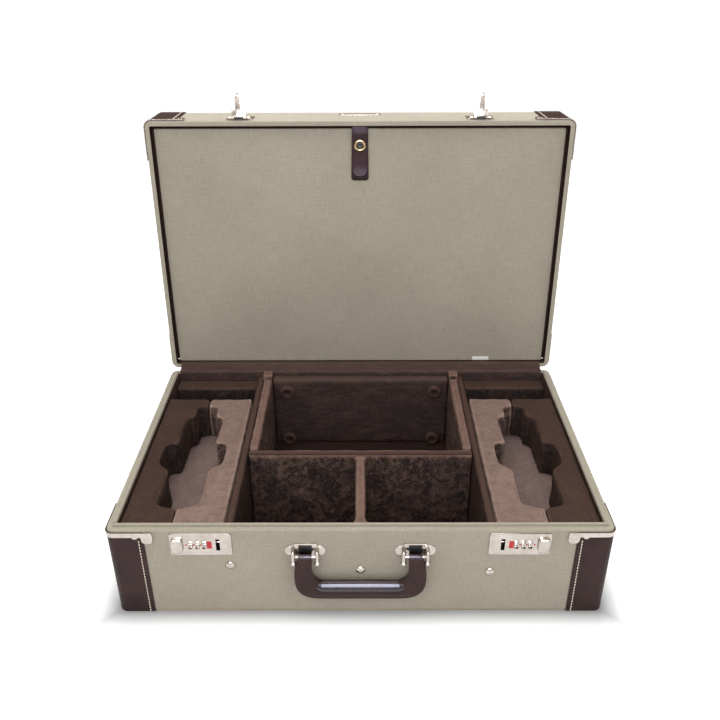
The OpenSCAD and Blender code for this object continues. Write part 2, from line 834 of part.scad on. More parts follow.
// A mount plate with pointed round wings and the two bent posts that end in balls
module handle_mount() {
    r = mount_plate_h / 2;
    wing = mount_plate_w / 2 - r * 0.55;
    translate([0, front_y, mount_z]) rotate([90, 0, 0]) linear_extrude(mount_plate_t) {
        rounded_2d(mount_plate_w * 0.62, mount_plate_h, 4);
        for (x = [-1, 1]) translate([x * wing, 0]) circle(r * 0.55);
        square([2 * wing, mount_plate_h * 0.55], center = true);
    }
    for (x = [-1, 1]) translate([x * post_x, 0, 0]) difference() {
        post();
        translate([0, pivot_y, pivot_z]) rotate([0, 90, 0])
            cylinder(h = 2 * (post_r + cut), r = pin_r, center = true);
    }
}

module post() {
    top_z = pivot_z + 6;
    foot_z = mount_z - mount_plate_h / 2 - 4.5;
    translate([0, front_y, top_z]) rotate([90, 0, 0]) cylinder(h = pivot_out, r = post_r);
    translate([0, pivot_y, top_z]) sphere(post_r);
    translate([0, pivot_y, foot_z]) cylinder(h = top_z - foot_z, r = post_r);
    translate([0, pivot_y, foot_z]) sphere(ball_r);
}

module handle_mounts() {
    color("gainsboro") both() translate([-mount_x, 0, 0]) handle_mount();
}

module handle_pins() {
    len = 2 * post_x + 2 * post_r;
    color("gainsboro") both() translate([-mount_x - len / 2, pivot_y, pivot_z])
        rotate([0, 90, 0]) cylinder(h = len, r = pin_r);
}

// The handle seen from the front: two legs, round lower corners and a grip
module handle_2d(grow) {
    w = handle_w / 2 + grow;
    low = -handle_drop - grow;
    difference() {
        union() {
            translate([-w + grip_r, low]) square([2 * (w - grip_r), grip_h + 2 * grow]);
            for (x = [-1, 1]) {
                translate([x * (w - grip_r), low + grip_r]) circle(grip_r);
                translate([x * mount_x - leg_w / 2 - grow, 0]) square([leg_w + 2 * grow, eye_h + grow]);
                polygon([[x * (mount_x - leg_w / 2 - grow), 0], [x * (mount_x + leg_w / 2 + grow), 0],
                    [x * w, low + grip_r + 12], [x * w, low + grip_r],
                    [x * (w - grip_r), low + grip_r], [x * (inner_w / 2 - grow), low + grip_h]]);
            }
        }
        translate([0, low + grip_h + 2 * grow + handle_drop])
            rounded_2d(inner_w - 2 * grow, 2 * handle_drop, inner_r);
    }
}

module handle_leather() {
    color([0.28, 0.21, 0.20]) difference() {
        union() {
            translate([0, pivot_y + leg_t / 2, pivot_z]) rotate([90, 0, 0])
                linear_extrude(leg_t) handle_2d(0);
            translate([0, handle_y + grip_t / 2, pivot_z]) rotate([90, 0, 0])
                linear_extrude(grip_t) intersection() {
                    handle_2d(-2);
                    translate([-palm_w / 2, -handle_drop]) square([palm_w, grip_h]);
                }
        }
        both() translate([-mount_x, pivot_y, pivot_z]) rotate([0, 90, 0])
            cylinder(h = 2 * post_x, r = pin_r + fit, center = true);
        translate([0, pivot_y + core_t / 2 + fit, pivot_z]) rotate([90, 0, 0])
            linear_extrude(core_t + 2 * fit) core_2d(fit);
    }
}

// The flat steel bow inside the leather
module core_2d(grow) {
    low = -handle_drop + (grip_h - core_w) / 2;
    half = mount_x + 2;
    leg = -low - pin_r - 3;
    translate([-half - grow, low - grow]) square([2 * (half + grow), core_w + 2 * grow]);
    for (x = [-1, 1]) translate([x * half - core_w / 2 - grow, low - grow])
        square([core_w + 2 * grow, leg + 2 * grow]);
}

module handle_core() {
    color("silver") translate([0, pivot_y + core_t / 2, pivot_z]) rotate([90, 0, 0])
        linear_extrude(core_t) core_2d(0);
}

// ---------- screws into the dividers ----------

function screw_x(i) = i == 1 ? 0 : (i - 1) * (divider_x + divider_t / 2);

module divider_screws() {
    dome_r = (screw_r * screw_r + screw_dome * screw_dome) / (2 * screw_dome);
    color("gainsboro") for (i = [0:2])
        translate([screw_x(i), front_y, base_h - screw_drop[i]]) rotate([90, 0, 0]) {
            difference() {
                intersection() {
                    cylinder(h = screw_dome, r = screw_r);
                    translate([0, 0, screw_dome - dome_r]) sphere(dome_r);
                }
                translate([0, 0, screw_dome - 0.8]) cylinder(h = 2, r = 1.2);
            }
            translate([0, 0, -shank_l]) cylinder(h = shank_l, r = shank_r);
        }
}

// ---------- hinge ----------

// Knuckles number first, first + 2 and so on along the hinge axis
module knuckles(first) {
    for (i = [first:2:knuckle_count - 1])
        translate([-hinge_l / 2 + i * knuckle_pitch + knuckle_gap / 2, hinge_y, hinge_z])
            rotate([0, 90, 0]) cylinder(h = knuckle_pitch - knuckle_gap, r = knuckle_r);
}

module knuckle_clear(first) {
    for (i = [first:2:knuckle_count - 1])
        translate([-hinge_l / 2 + i * knuckle_pitch - knuckle_gap / 2, hinge_y, hinge_z])
            rotate([0, 90, 0]) cylinder(h = knuckle_pitch + knuckle_gap, r = knuckle_r + 0.3);
}

module hinge_bore() {
    translate([-hinge_l / 2 - cut, hinge_y, hinge_z]) rotate([0, 90, 0])
        cylinder(h = hinge_l + 2 * cut, r = hinge_pin_r + fit);
}

// A leaf lies in its rebate on the rim, with its knuckles on the hinge axis
module leaf(z0, first, other) {
    difference() {
        union() {
            box(-hinge_l / 2, hinge_l / 2, case_d / 2 - ledge_w, hinge_y, z0, z0 + hinge_leaf_t);
            knuckles(first);
        }
        knuckle_clear(other);
        hinge_bore();
    }
}

module hinge_base_leaf() { color("gainsboro") leaf(base_h - hinge_leaf_t, 0, 1); }

module hinge_lid_leaf() { color("gainsboro") open_lid() leaf(rim_z, 1, 0); }

module hinge_pin() {
    color("silver") translate([-hinge_l / 2, hinge_y, hinge_z]) rotate([0, 90, 0])
        cylinder(h = hinge_l, r = hinge_pin_r);
}

// The velvet strip inside, as far as it is fixed to the base: up the lip and over its top
module hinge_velvet() {
    top = base_h + lip_rise;
    color("saddlebrown") {
        box(-in_x + 4, in_x - 4, in_y, in_y + velvet_t, base_h, top - lip_t / 2);
        box(-in_x + 4, in_x - 4, in_y, in_y + velvet_t + lip_t, top, top + 3 * velvet_t);
        box(-in_x + 4, in_x - 4, in_y, in_y + velvet_t, top - lip_t / 2, top);
    }
}

// ---------- lid shell ----------

module lid_roof_board() {
    color("burlywood") in_lid() translate([0, case_d / 2, lid_h - cloth_t - lid_board_t])
        rounded_plate(case_w - 2 * cloth_t, case_d - 2 * cloth_t, lid_board_t, corner_r - cloth_t);
}

module lid_wall_boards() {
    color("burlywood") in_lid() difference() {
        translate([0, 0, cloth_t]) linear_extrude(lid_h - 2 * cloth_t - lid_board_t)
            translate([0, case_d / 2]) frame_2d(-cloth_t, lid_board_t);
        box(-hinge_l / 2 - seat_gap, hinge_l / 2 + seat_gap, -cut, lid_wall + cut,
            -cut, hinge_leaf_t);
        panel_pivots(pivot_pin_r + fit);
    }
}

module lid_cloth() {
    color("darkkhaki") in_lid() difference() {
        union() {
            translate([0, case_d / 2]) linear_extrude(lid_h) ring_2d(0, cloth_t);
            translate([0, case_d / 2]) linear_extrude(cloth_t) frame_2d(0, lid_wall);
            translate([0, case_d / 2, lid_h - cloth_t])
                rounded_plate(case_w, case_d, cloth_t, corner_r);
        }
        box(-hinge_l / 2 - seat_gap, hinge_l / 2 + seat_gap, -cut, lid_wall + cut,
            -cut, hinge_leaf_t);
    }
}

module lid_leather() {
    open_lid() for (x = [-1, 1], y = [-1, 1])
        leather_corner(x, y, rim_z + drop(y), rim_z + lid_h);
}

module lid_brackets() {
    open_lid() for (x = [-1, 1], y = [-1, 1]) bracket(x, y, rim_z + drop(y), -1);
}

// The battens that the panel shuts against, along the sides and the front wall
module lid_battens() {
    x1 = case_w / 2 - lid_wall;
    y1 = case_d - lid_wall;
    w = panel_gap + batten_w;
    z0 = panel_back + soft_gap;
    color("burlywood") in_lid() {
        both() box(-x1, -x1 + w, pivot_s + 12, y1 - w, z0, z0 + batten_w);
        box(-x1, x1, y1 - w, y1, z0, z0 + batten_w);
    }
}

module lid_plate() {
    color("gainsboro") in_lid() difference() {
        union() {
            translate([0, case_d + 1.2, plate_rise]) rotate([90, 0, 0])
                rounded_plate(plate_w, plate_h, 1.2, 2);
            for (x = [-1, 1]) translate([x * (plate_w / 2 - 5), case_d + 2, plate_rise])
                rotate([90, 0, 0]) cylinder(h = 0.9, r = 2.4);
        }
        for (x = [-1, 1]) translate([x * (plate_w / 2 - 5), case_d + 2.4, plate_rise])
            rotate([90, 0, 0]) cylinder(h = 1, r = 0.8);
    }
}

// ---------- pocket panel and strap ----------

module panel_pivots(r) {
    reach = case_w / 2 - cloth_t;
    for (x = [-1, 1]) translate([x * (panel_x - 6), pivot_s, pivot_t]) rotate([0, x * 90, 0])
        cylinder(h = reach - panel_x + 6, r = r);
}

module pocket_panel() {
    color("darkkhaki") in_lid() {
        difference() {
            box(-panel_x, panel_x, panel_s0, panel_s1, panel_recess, panel_back);
            translate([0, snap_s, panel_recess - cut]) cylinder(h = cut + 2, r = 2);
        }
        panel_pivots(pivot_pin_r);
        box(tag_x - tag_w / 2, tag_x + tag_w / 2, panel_s0 + 0.5, panel_s0 + 0.5 + tag_h,
            panel_recess - 0.4, panel_recess);
    }
}

module strap_patch() {
    top = panel_s1 - 0.5;
    color([0.22, 0.15, 0.14]) in_lid() {
        box(-patch_w / 2, patch_w / 2, strap_top - patch_l, top, panel_recess - patch_t, panel_recess);
        translate([0, snap_s, panel_recess - patch_t - 1.6]) cylinder(h = 1.6 + patch_t + 2, r = 2);
        translate([0, snap_s, panel_recess - patch_t - 1.6]) cylinder(h = 1.2, r = stud_r - fit);
    }
}

module strap_anchor() {
    color([0.28, 0.21, 0.20]) in_lid()
        box(-strap_w / 2, strap_w / 2, strap_top + 0.1, case_d - lid_wall,
            strap_front, panel_back);
}

module strap() {
    end_r = strap_w / 2;
    low = strap_top - strap_l;
    color([0.28, 0.21, 0.20]) in_lid() difference() {
        union() {
            translate([0, 0, strap_front]) linear_extrude(strap_t) {
                translate([-end_r, low + end_r]) square([strap_w, strap_l - end_r - soft_gap]);
                translate([0, low + end_r]) circle(end_r);
            }
            translate([0, snap_s, strap_front - cap_t]) cylinder(h = cap_t, r = snap_r);
        }
        translate([0, snap_s, strap_front - cap_t - cut]) cylinder(h = 1.2 + cut, r = snap_r * 0.55);
        translate([0, snap_s, strap_front + strap_t - 1.4]) cylinder(h = 1.4 + cut, r = stud_r);
    }
}

// ---------- hasps ----------

// Places children drawn at the left hasp's own centre in the lid
module at_hasp(side) {
    open_lid() translate([side * slot_pos, 0, rim_z]) children();
}

// The plate with two knuckles, and the pin that is fixed in them
module hasp_plate() {
    z_top = hasp_rise + hasp_h;
    difference() {
        union() {
            translate([0, front_y, hasp_rise + hasp_h / 2 + 2]) rotate([90, 0, 0])
                rounded_plate(hasp_w, hasp_h - 4, hasp_t, 3);
            for (x = [-1, 1]) {
                translate([x * (leaf_w / 2 + 3) - 2.6, hasp_axis_y, hasp_axis_t])
                    rotate([0, 90, 0]) cylinder(h = 5.2, r = hasp_knuckle_r);
                box(x * (leaf_w / 2 + 3) - 2.6, x * (leaf_w / 2 + 3) + 2.6,
                    hasp_axis_y, front_y, hasp_axis_t - 1, hasp_axis_t + hasp_knuckle_r);
            }
            hasp_pin(hasp_pin_r);
        }
        for (x = [-1, 1], z = [hasp_rise + 9, z_top - 5])
            translate([x * (hasp_w / 2 - 4.4), front_y + cut, z]) rotate([90, 0, 0])
                cylinder(h = hasp_t + 2 * cut, r = 1.2);
    }
}

module hasp_pin(r) {
    len = leaf_w + 11;
    translate([-len / 2, hasp_axis_y, hasp_axis_t]) rotate([0, 90, 0]) cylinder(h = len, r = r);
}

module hasp_plates() {
    color("gainsboro") for (s = [-1, 1]) at_hasp(s) hasp_plate();
}

// The arm stands straight out from the wall: a knuckle on the pin, a leaf, a tongue and a hook
module hasp() {
    reach = hasp_reach + hasp_tip;
    color("gainsboro") difference() {
        union() {
            translate([-leaf_w / 2, hasp_axis_y, hasp_axis_t]) rotate([0, 90, 0])
                cylinder(h = leaf_w, r = hasp_knuckle_r);
            box(-leaf_w / 2, leaf_w / 2, hasp_axis_y - leaf_l, hasp_axis_y,
                hasp_axis_t - tongue_t / 2, hasp_axis_t + tongue_t / 2);
            box(-tongue_w / 2, tongue_w / 2, hasp_axis_y - reach, hasp_axis_y - leaf_l,
                hasp_axis_t - tongue_t / 2, hasp_axis_t + tongue_t / 2);
            box(-hook_w / 2, hook_w / 2, hasp_axis_y - reach, hasp_axis_y - hasp_reach + 4,
                hasp_axis_t - hook_l, hasp_axis_t);
        }
        hasp_pin(hasp_pin_r + fit);
        translate([-cut - hook_w, hasp_axis_y - hasp_reach, hasp_axis_t - finger_y + hasp_axis_y])
            rotate([0, 90, 0]) cylinder(h = 2 * hook_w + 2 * cut, r = hook_hole_r);
    }
}

module hasp_left() { at_hasp(-1) hasp(); }
module hasp_right() { at_hasp(1) hasp(); }

base_bottom_board();
base_front_board();
base_rear_board();
base_side_boards();
base_bottom_cloth();
base_side_cloth();
rim_lip();
wall_velvet();
floor_velvet();
base_leather_front();
base_leather_rear();
base_brackets();
long_dividers();
rear_side_pads();
rear_back_pad();
cross_divider();
centre_divider();
foot_cups();
rear_ledges();
tray_blocks();
tray_left_outer();
tray_left_inner();
tray_right_outer();
tray_right_inner();
cavity_floors();
lock_plates();
lock_cases();
index_plates();
dial_axles();
slider_left();
slider_right();
dial_left_outer();
dial_left_middle();
dial_left_inner();
dial_right_inner();
dial_right_middle();
dial_right_outer();
handle_mounts();
handle_pins();
handle_core();
handle_leather();
divider_screws();
hinge_base_leaf();
hinge_pin();
hinge_lid_leaf();
hinge_velvet();
lid_roof_board();
lid_wall_boards();
lid_cloth();
lid_leather();
lid_brackets();
lid_battens();
lid_plate();
strap_anchor();
hasp_plates();
hasp_left();
hasp_right();
pocket_panel();
strap_patch();
strap();
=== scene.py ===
# %% [markdown]
# # Dressing a microphone case
# The case stands open: a linen-covered box with leather corners and nickel hardware, and
# velvet trays inside. Its exact solids come from CAD and are only loaded here. Each step
# below says what a piece is on the real case, how it could be made, and why this way.

# %% Load the frame
import json
import math

import bmesh
import bpy
import numpy as np
from mathutils import Matrix, Vector

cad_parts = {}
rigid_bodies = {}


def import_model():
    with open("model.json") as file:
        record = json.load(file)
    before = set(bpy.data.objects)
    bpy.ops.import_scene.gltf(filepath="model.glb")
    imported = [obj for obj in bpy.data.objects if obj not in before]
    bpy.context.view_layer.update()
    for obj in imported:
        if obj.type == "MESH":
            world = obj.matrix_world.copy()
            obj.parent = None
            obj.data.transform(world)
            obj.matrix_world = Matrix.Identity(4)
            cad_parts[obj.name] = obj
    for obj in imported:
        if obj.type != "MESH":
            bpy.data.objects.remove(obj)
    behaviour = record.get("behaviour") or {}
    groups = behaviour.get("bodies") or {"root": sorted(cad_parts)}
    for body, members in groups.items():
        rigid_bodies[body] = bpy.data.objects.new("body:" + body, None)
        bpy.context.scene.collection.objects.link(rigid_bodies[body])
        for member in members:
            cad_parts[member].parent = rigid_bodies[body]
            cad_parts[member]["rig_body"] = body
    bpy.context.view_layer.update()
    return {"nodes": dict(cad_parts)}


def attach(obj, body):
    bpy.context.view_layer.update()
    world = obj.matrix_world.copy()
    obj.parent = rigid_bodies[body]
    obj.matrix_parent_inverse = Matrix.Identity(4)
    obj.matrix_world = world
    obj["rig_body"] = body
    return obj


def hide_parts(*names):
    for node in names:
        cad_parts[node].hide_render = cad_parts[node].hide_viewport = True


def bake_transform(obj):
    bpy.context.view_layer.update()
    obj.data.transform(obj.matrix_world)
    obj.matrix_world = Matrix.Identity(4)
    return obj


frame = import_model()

nodes = frame["nodes"]

# %% [markdown]
# ## The camera
# The photograph was taken from the front and above with a lens of about 39 mm. The camera's
# place and turn were fitted to the case's corners. Its three axes are worked out from yaw,
# pitch and roll, because a matrix of axes is exact and needs no guess about rotation order.

# %% Camera
CAMERA_PLACE = (0.0022, -0.8994, 0.7469)
YAW, PITCH, ROLL = (math.radians(a) for a in (-0.155, 28.78, -0.177))


def look_axes(yaw, pitch, roll):
    """The camera's right, up and back."""
    level = math.cos(pitch)
    forward = Vector((math.sin(yaw) * level, math.cos(yaw) * level, -math.sin(pitch)))
    right = Vector((math.cos(yaw), -math.sin(yaw), 0))
    up = right.cross(forward)
    c, s = math.cos(roll), math.sin(roll)
    return c * right + s * up, c * up - s * right, -forward


axes = look_axes(YAW, PITCH, ROLL)
camera = bpy.data.objects.new("camera", bpy.data.cameras.new("camera"))
bpy.context.scene.collection.objects.link(camera)
camera.data.lens, camera.data.sensor_width = 39.16, 36
camera.matrix_world = Matrix.Translation(CAMERA_PLACE) @ Matrix(axes).transposed().to_4x4()
bpy.context.scene.camera = camera
print("camera looks along", [round(-v, 3) for v in axes[2]])

# %% [markdown]
# ## Shader nodes
# Every material below is built from nodes, so a few short functions add and link them.

# %% Colour and node helpers
def linear(r, g, b):
    """A screen colour of 0 to 255 as linear light."""
    parts = (c / 255 / 12.92 if c <= 10 else ((c / 255 + 0.055) / 1.055) ** 2.4 for c in (r, g, b))
    return (*parts, 1.0)


def feed(tree, socket, value):
    """Links another node's output to the socket, or sets its value."""
    if isinstance(value, bpy.types.NodeSocket):
        tree.links.new(value, socket)
    else:
        socket.default_value = value


def add_node(tree, kind, **inputs):
    """A new node with its inputs linked or set; i0, i1 and so on name them by number."""
    made = tree.nodes.new("ShaderNode" + kind)
    for name, value in inputs.items():
        key = int(name[1:]) if name[1:].isdigit() else name.replace("_", " ")
        feed(tree, made.inputs[key], value)
    return made


def sum_of(tree, operation, a, b=0.0, c=0.0):
    """The result of one Math node."""
    made = tree.nodes.new("ShaderNodeMath")
    made.operation = operation
    for socket, value in zip(made.inputs, (a, b, c)):
        feed(tree, socket, value)
    return made.outputs[0]


# %% [markdown]
# ## Studio
# A pale floor and large soft lamps. Surfaces that face up are brighter in the photograph than
# those that face front, so the biggest lamp hangs overhead. The white background is only what
# the camera and reflections see of the floor and the world, so it adds no light to the case,
# and the floor keeps the soft shadow.

# %% Seen by the camera or in a reflection
def seen(tree):
    """A value of 1 on rays that come from the camera, a mirror or glass."""
    path = add_node(tree, "LightPath").outputs
    total = path["Is Camera Ray"]
    for name in ("Is Glossy Ray", "Is Transmission Ray"):
        total = sum_of(tree, "ADD", total, path[name])
        total.node.use_clamp = True
    return total


# %% World and lamps
world = bpy.data.worlds.new("studio")
bpy.context.scene.world = world
world.use_nodes = True
tree = world.node_tree
tree.nodes.clear()
dim = add_node(tree, "Background", Color=(1, 1, 1, 1), Strength=0.48)
white = add_node(tree, "Background", Color=(1, 1, 1, 1))
mix = add_node(tree, "MixShader", i0=seen(tree), i1=dim.outputs[0], i2=white.outputs[0])
add_node(tree, "OutputWorld", Surface=mix.outputs[0])


def lamp(name, place, size, watts, target=(0, 0.05, 0.15)):
    """A square soft lamp that looks at target."""
    data = bpy.data.lights.new(name, "AREA")
    data.shape, data.size, data.energy = "SQUARE", size, watts
    made = bpy.data.objects.new(name, data)
    bpy.context.scene.collection.objects.link(made)
    made.location = place
    made.rotation_euler = (Vector(target) - Vector(place)).to_track_quat("-Z", "Y").to_euler()
    return made


lamp("overhead", (-0.25, 0.1, 2.0), 1.3, 13)
lamp("front_left", (-1.3, -1.5, 1.5), 1.0, 10)
lamp("front_right", (1.5, -1.3, 1.2), 1.0, 7.3)
lamp("behind", (0.1, 1.5, 1.5), 1.2, 28, (0, 0.25, 0.45)).visible_glossy = False
lamp("above_front", (0, -1.6, 1.8), 0.6, 9, (0, -0.1, 0.1))

# %% [markdown]
# Nickel and polished leather show only what they mirror. In an all-white studio they would look
# like white paint, so a photographer hangs dark cloth round the room. Here it is a ball of
# warm grey round the studio, and a pale window in it gives the highlights. Both are seen in
# reflections alone and throw no shadow.

# %% Dark cloth and a window
def empty_material(piece, name):
    """Names the piece and gives it a new material without nodes, whose tree is handed back."""
    piece.name = name
    piece.data.materials.append(bpy.data.materials.new(name))
    piece.active_material.use_nodes = True
    tree = piece.active_material.node_tree
    tree.nodes.clear()
    return tree


def only_mirrored(piece, name, colour, strength):
    """Makes the piece glow, and hides it from all but reflections."""
    tree = empty_material(piece, name)
    glow = add_node(tree, "Emission", Color=colour, Strength=strength)
    add_node(tree, "OutputMaterial", Surface=glow.outputs[0])
    piece.visible_camera = piece.visible_diffuse = False
    piece.visible_shadow = piece.visible_transmission = False


bpy.ops.object.select_all(action="DESELECT")
bpy.ops.mesh.primitive_uv_sphere_add(segments=32, ring_count=16, radius=6, location=(0, 0, -0.2))
only_mirrored(bpy.context.object, "studio_cloth", (0.36, 0.29, 0.23, 1), 1)
bpy.ops.object.select_all(action="DESELECT")
bpy.ops.mesh.primitive_plane_add(size=1, location=(0, -2.1, 1.5))
pane = bpy.context.object
pane.scale = (1.7, 1.5, 1)
pane.rotation_euler = (Vector((0, -0.2, 0.1)) - pane.location).to_track_quat("-Z", "Y").to_euler()
bpy.ops.object.transform_apply(location=False, rotation=False, scale=True)
only_mirrored(pane, "studio_window", (0.85, 0.9, 1, 1), 11)
print("studio cloth and window are hung")

# %% [markdown]
# The floor glows white for the camera, but not right beside the case. There the glow fades in
# over three centimetres, which paints a darker band round the case on top of its real contact shadow.

# %% Floor
EDGE_X, EDGE_Y = 0.3, 0.19
bpy.ops.object.select_all(action="DESELECT")
bpy.ops.mesh.primitive_plane_add(size=60, location=(0, 0, 0))
floor = bpy.context.object
tree = empty_material(floor, "floor")
spot = add_node(tree, "SeparateXYZ", Vector=add_node(tree, "TexCoord").outputs["Object"])
beside = sum_of(tree, "SUBTRACT", sum_of(tree, "ABSOLUTE", spot.outputs[0]), EDGE_X)
before = sum_of(tree, "SUBTRACT", sum_of(tree, "ABSOLUTE", spot.outputs[1]), EDGE_Y)
away = sum_of(tree, "MAXIMUM", beside, before)
# Painted shadow: the glow is weaker near the case's outline, whatever the light.
painted_shadow_fade = add_node(tree, "MapRange", Value=away, From_Min=0.003, From_Max=0.032, To_Min=0.0, To_Max=0.8)
glow = add_node(tree, "Emission", Color=(1, 1, 1, 1), Strength=painted_shadow_fade.outputs[0])
matt = add_node(tree, "BsdfDiffuse", Color=(0.45, 0.45, 0.45, 1))
plain = add_node(tree, "BsdfDiffuse", Color=(0.75, 0.75, 0.75, 1))
bright = add_node(tree, "AddShader", i0=matt.outputs[0], i1=glow.outputs[0])
mix = add_node(tree, "MixShader", i0=seen(tree), i1=plain.outputs[0], i2=bright.outputs[0])
add_node(tree, "OutputMaterial", Surface=mix.outputs[0])
bpy.context.scene.view_settings.view_transform = "Standard"
print("floor is ready")

# %% [markdown]
# ## Surfaces
# Every finish is a small shader group that gives a tone and a height, used by one material
# or more. Colours are given as they look on screen and are turned into linear light once.

# %% Noise and groups
def noise(tree, place, scale, detail=3.0, rough=0.5, stretch=(1, 1, 1)):
    """Noise from -1 to 1 about zero, at scale per metre, stretched along the axes."""
    mapped = add_node(tree, "Mapping", Vector=place, Scale=stretch)
    made = add_node(tree, "TexNoise", Vector=mapped.outputs[0], Scale=scale, Detail=detail, Roughness=rough)
    return sum_of(tree, "MULTIPLY_ADD", made.outputs["Fac"], 2.0, -1.0)


def new_group(name):
    """A shader group that takes a place and gives a tone and a height."""
    tree = bpy.data.node_groups.new(name, "ShaderNodeTree")
    tree.interface.new_socket("Place", in_out="INPUT", socket_type="NodeSocketVector")
    for output in ("Tone", "Height"):
        tree.interface.new_socket(output, in_out="OUTPUT", socket_type="NodeSocketFloat")
    start = tree.nodes.new("NodeGroupInput")
    return tree, start.outputs[0], tree.nodes.new("NodeGroupOutput")


# %% [markdown]
# Linen is woven from uneven threads. Two sine waves give the over and under of the threads,
# about 0.7 mm apart, and two long stretched noises give the slubs, which is what shows from
# afar. The place is the cloth's own map, so that the threads run along the case's edges.

# %% Linen weave
tree, place, end = new_group("linen_weave")
wander = noise(tree, place, 90.0, 2.0)
split = add_node(tree, "SeparateXYZ", Vector=place)
THREAD = math.tau / 0.0014
across, along = (
    sum_of(tree, "SINE", sum_of(tree, "ADD", sum_of(tree, "MULTIPLY", split.outputs[i], THREAD), wander))
    for i in (0, 1)
)
knots = sum_of(tree, "MULTIPLY", across, along)
slub_a = noise(tree, place, 1.0, 4.0, 0.65, (42, 900, 1))
slub_b = noise(tree, place, 1.0, 4.0, 0.65, (900, 60, 1))
slubs = sum_of(tree, "ADD", slub_a, slub_b)
cloudy = noise(tree, place, 9.0, 3.0)
tone = sum_of(tree, "MULTIPLY_ADD", slubs, 0.36, 0.5)
tone = sum_of(tree, "MULTIPLY_ADD", knots, 0.13, tone)
tone = sum_of(tree, "MULTIPLY_ADD", cloudy, 0.18, tone)
tree.links.new(tone, end.inputs["Tone"])
tree.links.new(sum_of(tree, "MULTIPLY_ADD", slubs, 0.5, knots), end.inputs["Height"])
print("group:", tree.name)

# %% [markdown]
# Velvet's pile lies over in patches where it was stroked or pressed, and each patch looks
# lighter or darker. Two sizes of warped noise give the patches, and a very fine noise the
# pile itself. The tone also follows which way the cloth faces: faces that look up are painted
# lighter, as if lit from above, and walls are painted darker and more mottled, as shade. Where
# the cloth turns over an edge, the surface's pointiness paints a highlight.

# %% Velvet pile
tree, place, end = new_group("velvet_pile")
warp = add_node(tree, "TexNoise", Vector=place, Scale=16.0, Detail=5.0)
bent = add_node(tree, "VectorMath", i0=warp.outputs["Color"], i1=warp.outputs["Color"])
bent.operation = "MULTIPLY_ADD"
tree.links.new(place, bent.inputs[2])
broad = noise(tree, bent.outputs[0], 12.0, 4.0, 0.6)
small = noise(tree, bent.outputs[0], 48.0, 6.0, 0.7)
patches = sum_of(tree, "MULTIPLY_ADD", small, 0.85, sum_of(tree, "MULTIPLY", broad, 0.95))
pile = noise(tree, place, 1500.0, 2.0)
facing = add_node(tree, "SeparateXYZ", Vector=add_node(tree, "TexCoord").outputs["Normal"])
# Painted light: faces that look up are made lighter and walls darker, as the shade under the overhead
# lamps.
top_light_mask = sum_of(tree, "SMOOTH_MAX", facing.outputs[2], 0.0, 0.2)
strength = sum_of(tree, "MULTIPLY_ADD", top_light_mask, -0.65, 1.05)
tone = sum_of(tree, "MULTIPLY_ADD", top_light_mask, 0.48, 0.2)
tone = sum_of(tree, "MULTIPLY_ADD", patches, strength, tone)
# Painted highlight along the edges, where pointiness is high.
turn = sum_of(tree, "MULTIPLY_ADD", add_node(tree, "NewGeometry").outputs["Pointiness"], 17.0, -8.7)
turn = sum_of(tree, "MINIMUM", sum_of(tree, "MAXIMUM", turn, 0.0), 0.6)
tone = sum_of(tree, "ADD", tone, turn)
tree.links.new(sum_of(tree, "MULTIPLY_ADD", pile, 0.12, tone), end.inputs["Tone"])
tree.links.new(sum_of(tree, "MULTIPLY_ADD", patches, 2.6, pile), end.inputs["Height"])
print("group:", tree.name)

# %% [markdown]
# Leather has a fine pebbled grain, darker in its creases. Voronoi cells a little over a
# millimetre wide give the pebbles.

# %% Leather grain
tree, place, end = new_group("leather_grain")
cells = add_node(tree, "TexVoronoi", Vector=place, Scale=820.0)
broad = noise(tree, place, 45.0, 4.0)
height = sum_of(tree, "MULTIPLY_ADD", broad, 0.5, cells.outputs["Distance"])
tone = sum_of(tree, "MULTIPLY_ADD", cells.outputs["Distance"], 0.35, 0.32)
tree.links.new(sum_of(tree, "MULTIPLY_ADD", broad, 0.55, tone), end.inputs["Tone"])
tree.links.new(height, end.inputs["Height"])
print("group:", tree.name)

# %% [markdown]
# Handled nickel is bright but never clean: faint smears change its gloss, and hair-fine
# scratches run mostly one way.

# %% Handled metal
tree, place, end = new_group("handled_metal")
smears = noise(tree, place, 60.0, 4.0, 0.6)
hairs = noise(tree, place, 1.0, 3.0, 0.7, (2600, 240, 2600))
tone = sum_of(tree, "MULTIPLY_ADD", smears, 0.6, sum_of(tree, "MULTIPLY_ADD", hairs, 0.3, 0.5))
tree.links.new(tone, end.inputs["Tone"])
tree.links.new(hairs, end.inputs["Height"])
print("group:", tree.name)

# %% [markdown]
# Boards, thread and the white tag share one grain, which is noise drawn out one way.

# %% Wood grain
tree, place, end = new_group("wood_grain")
rings = noise(tree, place, 1.0, 5.0, 0.6, (9, 160, 160))
tree.links.new(sum_of(tree, "MULTIPLY_ADD", rings, 0.8, 0.5), end.inputs["Tone"])
tree.links.new(rings, end.inputs["Height"])
print("group:", tree.name)

# %% [markdown]
# A material places one group, colours its tone from dark to light, and turns its height into
# a bump. It reads the piece's own place, or the cloth's map where a weave has to follow it.

